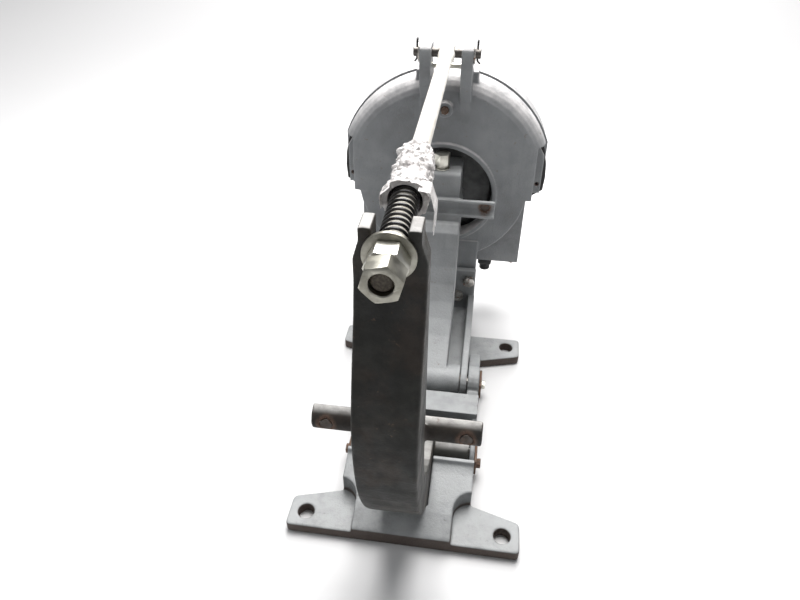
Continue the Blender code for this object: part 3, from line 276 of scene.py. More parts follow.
@dataclass(frozen=True)
class CastPaint:
    """Paint sprayed over rough cast iron, with a pale colour on faces that look up and on edges, and rust at
    set places; the pale colour is dust and edge wear on the base and inner lever, and mostly painted
    highlight on the case and outer lever.
    """

    name: str
    colour: Colour
    light: Colour
    dark: Colour
    # Pale colour on faces that look up: dust on the base and inner lever, painted highlight with some dust on
    # the case and outer lever.
    dust_and_highlight: Colour = (0.46, 0.47, 0.47)
    dust_and_highlight_share: float = 0.55
    rust: Colour = (0.105, 0.062, 0.042)
    rust_places: tuple[tuple[Point, float, float, str], ...] = ()
    rust_below: float = 0.0
    # Share of the pale colour on outside edges: worn edges, and painted highlight lines on the case.
    edge_wear_and_highlight_share: float = 0.35
    dust_and_highlight_from: float = 0.35
    dust_and_highlight_full: float = 0.95
    roughness: tuple[float, float] = (0.38, 0.58)
    tint: Colour = (0.10, 0.075, 0.06)
    tint_share: float = 0.0

    def make(self) -> bpy.types.Material:
        """Returns the material."""
        made = Recipe(self.name)
        wide, clouds = made.noise(5.0, 3.0), made.noise(24.0, 6.0, 0.6, shift=3.0)
        fine, grain = made.noise(190.0, 4.0, 0.6, shift=1.0), made.noise(900.0, 2.0, 0.5, shift=5.0)
        streaks = made.noise(9.0, 5.0, 0.6, (3.0, 3.0, 0.35), 7.0)
        tone = made.mix(made.span(wide, 0.38, 0.62), self.dark, self.light)
        tone = made.mix(made.span(clouds, 0.42, 0.60, 0.0, 0.55), tone, self.colour)
        tone = made.mix(made.span(streaks, 0.50, 0.72, 0.0, 0.30), tone, self.dark)
        tone = made.mix(made.span(fine, 0.30, 0.44, 0.28, 0.0), tone, self.dark)
        if self.tint_share:
            stained = made.span(made.noise(14.0, 5.0, 0.65, shift=11.0), 0.45, 0.66, 0.0, self.tint_share)
            tone = made.mix(stained, tone, self.tint)
        # Dust and painted highlight: faces that look up take the pale colour.
        upward = made.sum("MULTIPLY", made.facing_up(self.dust_and_highlight_from, self.dust_and_highlight_full),
                          made.span(clouds, 0.30, 0.65, 0.45, 1.0))
        tone = made.mix(made.sum("MULTIPLY", upward, self.dust_and_highlight_share), tone, self.dust_and_highlight)
        # Worn edges and painted highlight lines: outside edges take the pale colour.
        edge = made.sum("MULTIPLY", made.edges(), made.span(clouds, 0.40, 0.62, 0.15, 1.0))
        tone = made.mix(made.sum("MULTIPLY", edge, self.edge_wear_and_highlight_share), tone, self.dust_and_highlight)
        rusted = made.sum("MULTIPLY", made.span(made.noise(60.0, 6.0, 0.7, shift=9.0), 0.63, 0.70), 0.5)
        for place, radius, fade, ignore in self.rust_places:
            patch = made.sum("MULTIPLY", made.near(place, radius, fade, ignore),
                             made.span(fine, 0.30, 0.55, 0.45, 1.0))
            rusted = made.sum("MAXIMUM", rusted, patch)
        if self.rust_below:
            height = made.axis_value(made.coords, "Z")
            uneven = made.sum("ADD", height, made.sum("MULTIPLY", clouds, self.rust_below * 0.3))
            low = made.span(uneven, self.rust_below, self.rust_below * 1.25, 1.0, 0.0)
            side = made.facing_up(0.75, 0.30)
            rusted = made.sum("MAXIMUM", rusted, made.sum("MULTIPLY", low, made.sum("MULTIPLY", side, 0.92)))
        scale = made.mix(made.span(grain, 0.35, 0.65), self.rust, tuple(c * 1.8 for c in self.rust))
        tone = made.mix(rusted, tone, scale)
        made.put(made.shader.inputs["Base Color"], tone)
        dull = made.span(clouds, 0.35, 0.65, *self.roughness)
        made.put(made.shader.inputs["Roughness"],
                 made.sum("MAXIMUM", dull, made.sum("MULTIPLY", rusted, 0.85)))
        made.relief(grain, 0.00055, 0.7)
        made.relief(fine, 0.0013, 0.65)
        made.relief(clouds, 0.0016, 0.35)
        return made.material


@dataclass(frozen=True)
class Metal:
    """Turned, plated or blackened metal, with smears, fine scratches and rust blooms."""

    name: str
    colour: Colour
    second: Colour
    roughness: tuple[float, float] = (0.22, 0.42)
    metallic: float = 1.0
    rust_share: float = 0.0
    rust: Colour = (0.16, 0.075, 0.04)
    scratch: Point = (1.0, 1.0, 1.0)
    pitted: float = 0.0

    def make(self) -> bpy.types.Material:
        """Returns the material."""
        made = Recipe(self.name)
        smears = made.noise(45.0, 5.0, 0.6)
        fine = made.noise(420.0, 3.0, 0.6, shift=2.0)
        lines = made.noise(260.0, 3.0, 0.7, self.scratch, 4.0)
        tone = made.mix(made.span(smears, 0.36, 0.64), self.colour, self.second)
        tone = made.mix(made.span(fine, 0.56, 0.70, 0.0, 0.35), tone, self.second)
        tone = made.mix(made.edges(0.53, 0.62), tone, tuple(min(1.0, c * 1.25) for c in self.colour))
        bloom = made.span(made.noise(70.0, 7.0, 0.72, shift=6.0), 0.62 - 0.32 * self.rust_share,
                          0.70 - 0.20 * self.rust_share, 0.0, 1.0 if self.rust_share else 0.0)
        tone = made.mix(bloom, tone, made.mix(fine, self.rust, tuple(c * 1.6 for c in self.rust)))
        made.put(made.shader.inputs["Base Color"], tone)
        dull = made.span(smears, 0.35, 0.65, *self.roughness)
        made.put(made.shader.inputs["Roughness"], made.sum("MAXIMUM", dull, made.sum("MULTIPLY", bloom, 0.8)))
        if self.rust_share:
            bare = made.sum("SUBTRACT", 1.0, made.sum("MULTIPLY", bloom, 0.9))
            made.put(made.shader.inputs["Metallic"], made.sum("MULTIPLY", bare, self.metallic))
        else:
            made.shader.inputs["Metallic"].default_value = self.metallic
        made.relief(lines, 0.00006, 0.6)
        made.relief(fine, 0.00004 + 0.0007 * self.pitted, 0.35)
        return made.material


@dataclass(frozen=True)
class RodEnamel:
    """Off-white enamel on the tie rod, gone to rust on its threaded end."""

    name: str
    colour: Colour
    rust_before: float

    def make(self) -> bpy.types.Material:
        """Returns the material."""
        made = Recipe(self.name)
        clouds, fine = made.noise(30.0, 5.0), made.noise(300.0, 4.0, 0.6, shift=2.0)
        tone = made.mix(made.span(clouds, 0.35, 0.65), self.colour, (0.70, 0.665, 0.60))
        tone = made.mix(made.span(fine, 0.60, 0.72, 0.0, 0.5), tone, (0.42, 0.36, 0.30))
        along = made.sum("ADD", made.axis_value(made.coords, "Y"), made.sum("MULTIPLY", clouds, 0.01))
        end = made.span(along, self.rust_before, self.rust_before + 0.012, 1.0, 0.0)
        rust = made.mix(made.span(fine, 0.35, 0.65), (0.055, 0.045, 0.033), (0.12, 0.10, 0.075))
        made.put(made.shader.inputs["Base Color"], made.mix(end, tone, rust))
        made.put(made.shader.inputs["Roughness"], made.span(end, 0.0, 1.0, 0.34, 0.72))
        made.relief(fine, 0.0002, 0.4)
        return made.material


@dataclass(frozen=True)
class SoftSurface:
    """Rubber, film or tape: no metal, some sheen, a crumpled or ribbed surface."""

    name: str
    colour: Colour
    second: Colour
    roughness: float
    lumps: float
    depth: float
    ribs: float = 0.0
    through: float = 0.0

    def make(self) -> bpy.types.Material:
        """Returns the material."""
        made = Recipe(self.name)
        clouds = made.noise(self.lumps, 6.0, 0.62)
        fine = made.noise(self.lumps * 9.0, 4.0, 0.6, shift=2.0)
        # Darker second colour where the cloud noise is high; that noise also raises the bump, so on the
        # packing film this is painted shade in the folds.
        tone = made.mix(made.span(clouds, 0.36, 0.62), self.colour, self.second)
        made.put(made.shader.inputs["Base Color"], tone)
        made.put(made.shader.inputs["Roughness"],
                 made.span(fine, 0.3, 0.7, self.roughness * 0.85, min(1.0, self.roughness * 1.15)))
        made.shader.inputs["Subsurface Weight"].default_value = self.through
        made.shader.inputs["Subsurface Radius"].default_value = (0.004, 0.004, 0.004)
        made.relief(fine, self.depth * 0.4, 0.5)
        made.relief(clouds, self.depth, 0.6)
        if self.ribs:
            wave = made.tree.nodes.new("ShaderNodeTexWave")
            made.put(wave.inputs["Vector"], made.coords)
            wave.bands_direction = "Y"
            wave.inputs["Scale"].default_value = self.ribs
            made.relief(wave.outputs["Fac"], 0.0012, 0.7)
        return made.material


FOOT_HOLES = [(x, y, 0.0) for x in (0.216, -0.216) for y in (0.304, -0.304)]
SADDLE_HOLES = [(x, y, WHEEL_HEIGHT) for x in (0.119, -0.119) for y in (0.372, -0.372)]
# Case paint: the pale colour on faces that look up and on edges is painted highlight for the light from
# above, with some dust; the rust places are real rust.
CASE_PAINT = CastPaint("case paint", (0.205, 0.215, 0.222), (0.245, 0.256, 0.263), (0.160, 0.166, 0.171),
                       dust_and_highlight=(0.66, 0.64, 0.635), dust_and_highlight_share=0.85, dust_and_highlight_from=0.10, dust_and_highlight_full=0.72,
                       edge_wear_and_highlight_share=0.6,
                       rust_places=(((0.2515, 0.494, 0.460), 0.0045, 0.003, "Y"),
                                    ((-0.2515, 0.494, 0.460), 0.0045, 0.003, "Y"),
                                    ((0.0, 0.43, 0.673), 0.005, 0.006, "Y")))
BASE_PAINT = CastPaint("base paint", (0.17, 0.178, 0.182), (0.21, 0.22, 0.225), (0.12, 0.125, 0.125),
                       rust=(0.050, 0.036, 0.029),
                       rust_places=tuple((hole, 0.0182, 0.0015, "Z") for hole in FOOT_HOLES),
                       rust_below=0.040)
INNER_PAINT = CastPaint("inner lever paint", (0.22, 0.23, 0.235), (0.27, 0.28, 0.285), (0.16, 0.165, 0.165),
                        rust_places=tuple((hole, 0.012, 0.010, "Y") for hole in SADDLE_HOLES[::2]))
# Outer lever: its near-black colour is painted shade on faces turned away from the light, and its pale colour
# on faces that look up is painted highlight; its brown tint and rust are real.
OUTER_LEVER_SHADED_PAINT = CastPaint("outer lever paint with painted shade and highlight", (0.014, 0.0145, 0.012), (0.021, 0.021, 0.017),
                        (0.009, 0.009, 0.008), dust_and_highlight=(0.50, 0.49, 0.47), dust_and_highlight_share=0.85,
                        dust_and_highlight_from=0.72, dust_and_highlight_full=0.99, edge_wear_and_highlight_share=0.16, roughness=(0.58, 0.76),
                        tint=(0.050, 0.032, 0.022), tint_share=0.45,
                        rust_places=tuple((hole, 0.012, 0.010, "Y") for hole in SADDLE_HOLES[1::2]))
ZINC = Metal("zinc plate", (0.62, 0.61, 0.55), (0.50, 0.49, 0.43), (0.30, 0.44))
# A darker copy of the zinc plate: painted shade on the thrust washer, the jam nut and the spring washer.
ZINC_WITH_PAINTED_SHADE = Metal("zinc plate with painted shade", (0.40, 0.39, 0.34), (0.28, 0.27, 0.23), (0.28, 0.46))
DARK_STEEL = Metal("dark turned steel", (0.14, 0.13, 0.12), (0.09, 0.085, 0.08), (0.30, 0.50))
MACHINED = Metal("machined steel", (0.60, 0.58, 0.55), (0.42, 0.40, 0.37), (0.25, 0.45), rust_share=0.25)
BLACKENED = Metal("blackened steel", (0.028, 0.028, 0.030), (0.050, 0.048, 0.046), (0.25, 0.42), 0.85)
IRON = Metal("bare magnet iron", (0.100, 0.102, 0.102), (0.072, 0.073, 0.072), (0.45, 0.62), 0.35)
RUSTY = Metal("rusted steel", (0.135, 0.095, 0.070), (0.085, 0.058, 0.043), (0.55, 0.80), 0.4, 0.7,
              rust=(0.105, 0.060, 0.040), pitted=1.0)
DOWEL_STEEL = Metal("dull dowel steel", (0.105, 0.092, 0.082), (0.070, 0.058, 0.050), (0.50, 0.72), 0.5, 0.35,
                    rust=(0.085, 0.052, 0.036), pitted=0.7)
BRONZE = Metal("bearing bronze", (0.52, 0.34, 0.16), (0.38, 0.24, 0.11), (0.30, 0.50))
ENAMEL = RodEnamel("rod enamel", (0.86, 0.84, 0.79), -0.455)
COIL_TAPE = SoftSurface("coil tape", (0.34, 0.13, 0.06), (0.20, 0.07, 0.035), 0.45, 60.0, 0.0006, 60.0)
RUBBER = SoftSurface("black rubber", (0.030, 0.030, 0.030), (0.018, 0.018, 0.018), 0.65, 120.0, 0.0004)
# The film's darker second colour follows its fold bump: painted shade in the folds.
FILM = SoftSurface("packing film", (0.72, 0.70, 0.685), (0.50, 0.475, 0.465), 0.34, 70.0, 0.0060,
                   through=0.10)


class FinishShelf:
    """Makes each finish once and hands out its material."""

    made: dict[str, bpy.types.Material] = {}

    @classmethod
    def take(cls, finish: object) -> bpy.types.Material:
        """The finish's material, made on first use.

        Args:
            finish: one of the finish dataclasses.

        Returns:
            Its material.
        """
        if finish.name not in cls.made:
            cls.made[finish.name] = finish.make()
        return cls.made[finish.name]


# ---------------------------------------------------------------- modelling
def chamfered(radius: float, low: float, high: float, edge: float) -> Profile:
    """Returns the profile of a bar whose ends are chamfered."""
    return [(radius - edge, low), (radius, low + edge), (radius, high - edge), (radius - edge, high)]


class Bench:
    """The modelling steps that several sub-assemblies share."""

    @staticmethod
    def clear() -> None:
        """Deselect everything."""
        if bpy.context.object and bpy.context.object.mode != "OBJECT":
            bpy.ops.object.mode_set(mode="OBJECT")
        bpy.ops.object.select_all(action="DESELECT")

    @classmethod
    def choose(cls, piece: bpy.types.Object) -> None:
        """Make one piece the only selected and the active one."""
        cls.clear()
        piece.select_set(True)
        bpy.context.view_layer.objects.active = piece

    @classmethod
    def apply(cls, piece: bpy.types.Object, kind: str, **settings: object) -> bpy.types.Object:
        """Add a modifier, set it and apply it.

        Args:
            piece: what it is added to.
            kind: the modifier's type.
            settings: its properties.

        Returns:
            The piece.
        """
        cls.choose(piece)
        modifier = piece.modifiers.new(kind.lower(), kind)
        for key, value in settings.items():
            setattr(modifier, key, value)
        bpy.ops.object.modifier_apply(modifier=modifier.name)
        return piece

    @classmethod
    def settle(cls, piece: bpy.types.Object, angle: float = 35.0) -> bpy.types.Object:
        """Put a piece's place into its mesh, merge doubles, turn faces out and shade it.

        Args:
            piece: the piece.
            angle: edges sharper than this stay sharp, in degrees.

        Returns:
            The piece.
        """
        cls.choose(piece)
        bpy.ops.object.transform_apply(location=True, rotation=True, scale=True)
        bpy.ops.object.mode_set(mode="EDIT")
        bpy.ops.mesh.select_all(action="SELECT")
        bpy.ops.mesh.remove_doubles(threshold=0.000005)
        bpy.ops.mesh.normals_make_consistent(inside=False)
        bpy.ops.object.mode_set(mode="OBJECT")
        bpy.ops.object.shade_smooth_by_angle(angle=math.radians(angle))
        return piece

    @classmethod
    def turned(cls, name: str, profile: Profile, place: Point, axis: Axis, steps: int = 64,
               closed: bool = False) -> bpy.types.Object:
        """Turn a piece: a circle is extruded and resized from ring to ring, then laid on its axis.

        Args:
            name: the piece's name.
            profile: (radius, distance along the axis) of each ring.
            place: where distance 0 is.
            axis: the direction of the length.
            steps: points in each ring.
            closed: whether the last ring joins the first, as in a washer.

        Returns:
            The piece.
        """
        cls.clear()
        radius, along = profile[0]
        bpy.ops.mesh.primitive_circle_add(vertices=steps, radius=radius, fill_type="NOTHING",
                                          location=(0.0, 0.0, along))
        piece = bpy.context.object
        bpy.ops.object.transform_apply(location=True, rotation=True, scale=True)
        bpy.ops.object.mode_set(mode="EDIT")
        bpy.ops.mesh.select_all(action="SELECT")
        for ring, height in profile[1:] + (profile[:1] if closed else []):
            bpy.ops.mesh.extrude_region_move(TRANSFORM_OT_translate={"value": (0.0, 0.0, height - along)})
            share = ring / radius
            if abs(share - 1.0) > 1e-6:
                bpy.ops.transform.resize(value=(share, share, 1.0), center_override=(0.0, 0.0, height))
            radius, along = ring, height
        if not closed:
            bpy.ops.mesh.select_all(action="SELECT")
            bpy.ops.mesh.fill_holes(sides=steps)
        bpy.ops.object.mode_set(mode="OBJECT")
        piece.name = piece.data.name = name
        piece.matrix_world = Matrix.Translation(place) @ axis.matrix()
        return cls.settle(piece)

    @classmethod
    def ring(cls, name: str, inner: float, outer: float, low: float, high: float, place: Point,
             axis: Axis, edge: float = 0.0006, steps: int = 72) -> bpy.types.Object:
        """Turn a washer, sleeve or collar with rounded edges.

        Args:
            name: the piece's name.
            inner: bore radius.
            outer: outer radius.
            low: start along the axis.
            high: end along the axis.
            place: where distance 0 is.
            axis: direction of its length.
            edge: size of its edge rounding.
            steps: points round it.

        Returns:
            The piece.
        """
        soft = edge * 0.3
        profile = [(inner, low + edge), (inner + soft, low + soft), (inner + edge, low),
                   (outer - edge, low), (outer - soft, low + soft), (outer, low + edge),
                   (outer, high - edge), (outer - soft, high - soft), (outer - edge, high),
                   (inner + edge, high), (inner + soft, high - soft), (inner, high - edge)]
        return cls.turned(name, profile, place, axis, steps, True)

    @classmethod
    def hexagon(cls, name: str, flats: float, height: float, turn: float, place: Point, matrix: Matrix,
                bore: float = 0.0, both: bool = True, chamfer: float = 0.10) -> bpy.types.Object:
        """Model a nut or a bolt head: a prism, chamfered at its corners by a turned blank.

        Args:
            name: the piece's name.
            flats: size across flats.
            height: its height.
            turn: angle of its corners, in radians.
            place: centre of its seat.
            matrix: turn that lays +Z away from the seat.
            bore: radius of its hole, 0 for none.
            both: whether both ends are chamfered.
            chamfer: how far the chamfer comes in, as a share of the corner radius.

        Returns:
            The piece.
        """
        corner = flats / math.sqrt(3.0)
        cls.clear()
        bpy.ops.mesh.primitive_cylinder_add(vertices=6, radius=corner, depth=height,
                                            location=(0.0, 0.0, height / 2), rotation=(0.0, 0.0, turn))
        piece = bpy.context.object
        piece.name = piece.data.name = name
        bpy.ops.object.transform_apply(location=True, rotation=True, scale=True)
        small, fall = corner * (1.0 - chamfer), corner * chamfer * 0.62
        low = [(small, -0.00001), (corner * 1.02, fall)] if both else [(corner * 1.02, -0.00001)]
        blank = cls.turned(name + "_blank", low + [(corner * 1.02, height - fall), (small, height + 0.00001)],
                           (0.0, 0.0, 0.0), Axis.Z, 96)
        cls.cut(piece, blank, "INTERSECT")
        if bore:
            flare = bore * 0.07
            wide = bore + flare * 1.2
            drill = cls.turned(name + "_drill", [(wide, -0.0001), (bore, flare), (bore, height - flare),
                                                 (wide, height + 0.0001)], (0.0, 0.0, 0.0), Axis.Z, 64)
            cls.cut(piece, drill)
        cls.apply(piece, "BEVEL", width=0.0004, segments=2, limit_method="ANGLE",
                  angle_limit=math.radians(28))
        piece.matrix_world = Matrix.Translation(place) @ matrix
        return cls.settle(piece, 30.0)

    @classmethod
    def join(cls, name: str, *pieces: bpy.types.Object) -> bpy.types.Object:
        """Join meshes into one piece, which keeps the first one's material."""
        cls.clear()
        for piece in pieces:
            piece.select_set(True)
        bpy.context.view_layer.objects.active = pieces[0]
        bpy.ops.object.join()
        pieces[0].name = pieces[0].data.name = name
        return pieces[0]

    @classmethod
    def bolt(cls, name: str, head: bpy.types.Object, stem: Profile, place: Point, axis: Axis,
             steps: int = 32) -> bpy.types.Object:
        """Turn a bolt's shank and join it to its head.

        Args:
            name: the bolt's name.
            head: its head, already in place.
            stem: the shank's profile.
            place: where the profile's distance 0 is.
            axis: direction of the shank.
            steps: points round it.

        Returns:
            The bolt.
        """
        return cls.join(name, head, cls.turned(name + "_shank", stem, place, axis, steps))

    @classmethod
    def cut(cls, piece: bpy.types.Object, tool: bpy.types.Object, operation: str = "DIFFERENCE") -> None:
        """Combine a piece with a tool, which is used up.

        Args:
            piece: what stays.
            tool: what it is cut by or joined with.
            operation: DIFFERENCE, UNION or INTERSECT.
        """
        cls.apply(piece, "BOOLEAN", operation=operation, solver="EXACT", object=tool)
        bpy.data.objects.remove(tool)

    @classmethod
    def cube(cls, place: Point, size: Point) -> bpy.types.Object:
        """Returns a box of a size, centred on a place."""
        cls.clear()
        bpy.ops.mesh.primitive_cube_add(size=1.0, location=place, scale=size)
        bpy.ops.object.transform_apply(location=True, rotation=True, scale=True)
        return bpy.context.object

    @classmethod
    def copied(cls, node: str, name: str, flatten: float = 0.0) -> bpy.types.Object:
        """Copy a CAD piece and merge its doubled points.

        Args:
            node: the CAD node.
            name: the copy's name.
            flatten: neighbouring faces closer than this become one, in degrees; 0 leaves them.

        Returns:
            The copy.
        """
        piece = bpy.data.objects.new(name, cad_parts[node].data.copy())
        bpy.context.scene.collection.objects.link(piece)
        cls.choose(piece)
        bpy.ops.object.mode_set(mode="EDIT")
        bpy.ops.mesh.select_all(action="SELECT")
        bpy.ops.mesh.remove_doubles(threshold=COPY_MERGE)
        if flatten:
            bpy.ops.mesh.dissolve_limited(angle_limit=math.radians(flatten))
        bpy.ops.object.mode_set(mode="OBJECT")
        return piece

    @staticmethod
    def place(piece: bpy.types.Object, body: Body, finish: object, slot: str = "", *nodes: str) -> None:
        """Give a finished piece its material, its body and the CAD nodes it stands for.

        Args:
            piece: the piece.
            body: what it moves with.
            finish: the finish dataclass.
            slot: the record's material slot; not used.
            nodes: the CAD nodes it replaces.
        """
        piece.data.materials.clear()
        piece.data.materials.append(FinishShelf.take(finish))
        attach(piece, body.value)
        if nodes:
            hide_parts(*nodes)
        LOG.info("%s: %d faces on %s", piece.name, len(piece.data.polygons), body.value)


@dataclass(frozen=True)
class Casting:
    """A cast piece: the machined CAD solid with the rounded edges and soft corners of a sand casting."""

    node: str
    body: Body
    finish: CastPaint
    slot: str
    grain: float = 0.0026
    soften: int = 4
    most_faces: int = 170000

    def build(self) -> bpy.types.Object:
        """Returns the casting, which replaces its CAD node."""
        piece = Bench.copied(self.node, self.node + "_cast")
        Bench.apply(piece, "REMESH", mode="VOXEL", voxel_size=self.grain, adaptivity=0.0)
        Bench.apply(piece, "SMOOTH", factor=0.5, iterations=self.soften)
        triangles = sum(len(face.vertices) - 2 for face in piece.data.polygons)
        if triangles > self.most_faces:
            Bench.apply(piece, "DECIMATE", ratio=self.most_faces / triangles)
        Bench.choose(piece)
        bpy.ops.object.shade_smooth()
        Bench.place(piece, self.body, self.finish, self.slot, self.node)
        return piece


CASTINGS = (
    Casting("magnet_case", Body.MAGNET_CASE, CASE_PAINT, "sprayed_paint", 0.0022, 3, 190000),
    Casting("base_casting", Body.BASE, BASE_PAINT, "sprayed_paint", 0.0025, 5),
    Casting("outer_lever", Body.OUTER_LEVER, OUTER_LEVER_SHADED_PAINT, "lever_paint", 0.0024, 6),
    Casting("inner_lever", Body.INNER_LEVER, INNER_PAINT, "sprayed_paint", 0.0024, 5),
    Casting("hinge_bracket", Body.MAGNET_CASE, INNER_PAINT, "sprayed_paint", 0.0026, 5, 120000),
    Casting("rear_cover", Body.MAGNET_CASE, CASE_PAINT, "sprayed_paint", 0.0034, 3),
)


@dataclass(frozen=True)
class PlatePiece:
    """A sawn or pressed plate: the CAD solid with its edges broken."""

    node: str
    body: Body
    finish: object
    slot: str
    edge: float = 0.0007

    def build(self) -> bpy.types.Object:
        """Returns the plate, which replaces its CAD node."""
        piece = Bench.copied(self.node, self.node + "_plate", 0.6)
        Bench.apply(piece, "BEVEL", width=self.edge, segments=3, limit_method="ANGLE",
                    angle_limit=math.radians(40))
        Bench.settle(piece, 30.0)
        Bench.place(piece, self.body, self.finish, self.slot, self.node)
        return piece


@dataclass
class HingeGear:
    """The hinge pins and the keepers bolted over their ends."""

    pin_radius: float = 0.016
    pin_height: float = 0.058
    pin_y: float = 0.115
    cheek: float = 0.145
    plate: float = 0.006
    bolt_out: float = 0.015
    bolt_down: float = 0.018
    plate_length: float = 0.060
    plate_width: float = 0.046
    pin_edge: float = 0.0015
    plate_edge: float = 0.0016
    plate_bore: float = 0.0064
    head_flats: float = 0.020
    head_height: float = 0.0095
    shank_radius: float = 0.0060

    def build(self) -> None:
        """Model both pins, four keepers and their bolts."""
        for place, side_y in (("front", -1.0), ("rear", 1.0)):
            self.pin(place, side_y)
            for hand, side in SIDES:
                self.keeper(place, hand, side_y, side)

    def pin(self, place: str, side_y: float) -> None:
        """Model one chamfered hinge pin.

        Args:
            place: front or rear.
            side_y: its side of the middle.
        """
        profile = chamfered(self.pin_radius, -self.cheek, self.cheek, self.pin_edge)
        pin = Bench.turned(f"{place}_pin_turned", profile,
                           (0.0, self.pin_y * side_y, self.pin_height), Axis.X)
        Bench.place(pin, Body.BASE, MACHINED, "machined_steel", f"{place}_hinge_pin")

    def keeper(self, place: str, hand: str, side_y: float, side: float) -> None:
        """Model one keeper with its bolt.

        Args:
            place: front or rear.
            hand: left or right.
            side_y: its side of the middle along the brake.
            side: its side along the axle.
        """
        bolt_y, bolt_z = (self.pin_y + self.bolt_out) * side_y, self.pin_height - self.bolt_down
        middle_y, middle_z = (self.pin_y * side_y + bolt_y) / 2, (self.pin_height + bolt_z) / 2
        seat = self.cheek + GAP
        plate = Bench.cube(((seat + self.plate / 2) * side, middle_y, middle_z),
                           (self.plate, self.plate_length, self.plate_width))
        Bench.apply(plate, "BEVEL", width=self.plate_edge, segments=3)
        drill = Bench.turned("keeper_drill", [(self.plate_bore, -0.02), (self.plate_bore, 0.02)],
                             ((seat + self.plate / 2) * side, bolt_y, bolt_z), Axis.X, 32)
        Bench.cut(plate, drill)
        plate.name = f"{place}_keeper_{hand}_plate"
        Bench.settle(plate, 30.0)
        Bench.place(plate, Body.BASE, RUSTY, "rusty_steel", f"{place}_keeper_{hand}")
        face = (self.cheek + self.plate + 2 * GAP) * side
        lay = Matrix.Rotation(math.pi / 2 * side, 4, "Y")
        head = Bench.hexagon("keeper_head", self.head_flats, self.head_height, 0.4, (face, bolt_y, bolt_z),
                             lay, both=False)
        shank = Bench.turned("keeper_shank", [(self.shank_radius - 0.0008, -0.0160),
                                                (self.shank_radius, -0.0150), (self.shank_radius, 0.004)],
                             (face, bolt_y, bolt_z), Axis.X, 32)
        if side < 0:
            shank.data.transform(Matrix.Translation((2 * face, 0, 0)) @ Matrix.Scale(-1.0, 4, (1, 0, 0)))
            Bench.settle(shank)
        bolt = Bench.join(f"{place}_keeper_{hand}_screw", head, shank)
        bright = (place, hand) == ("rear", "right")
        Bench.place(bolt, Body.BASE, ZINC if bright else RUSTY, "zinc" if bright else "rusty_steel",
                    f"{place}_keeper_bolt_{hand}")


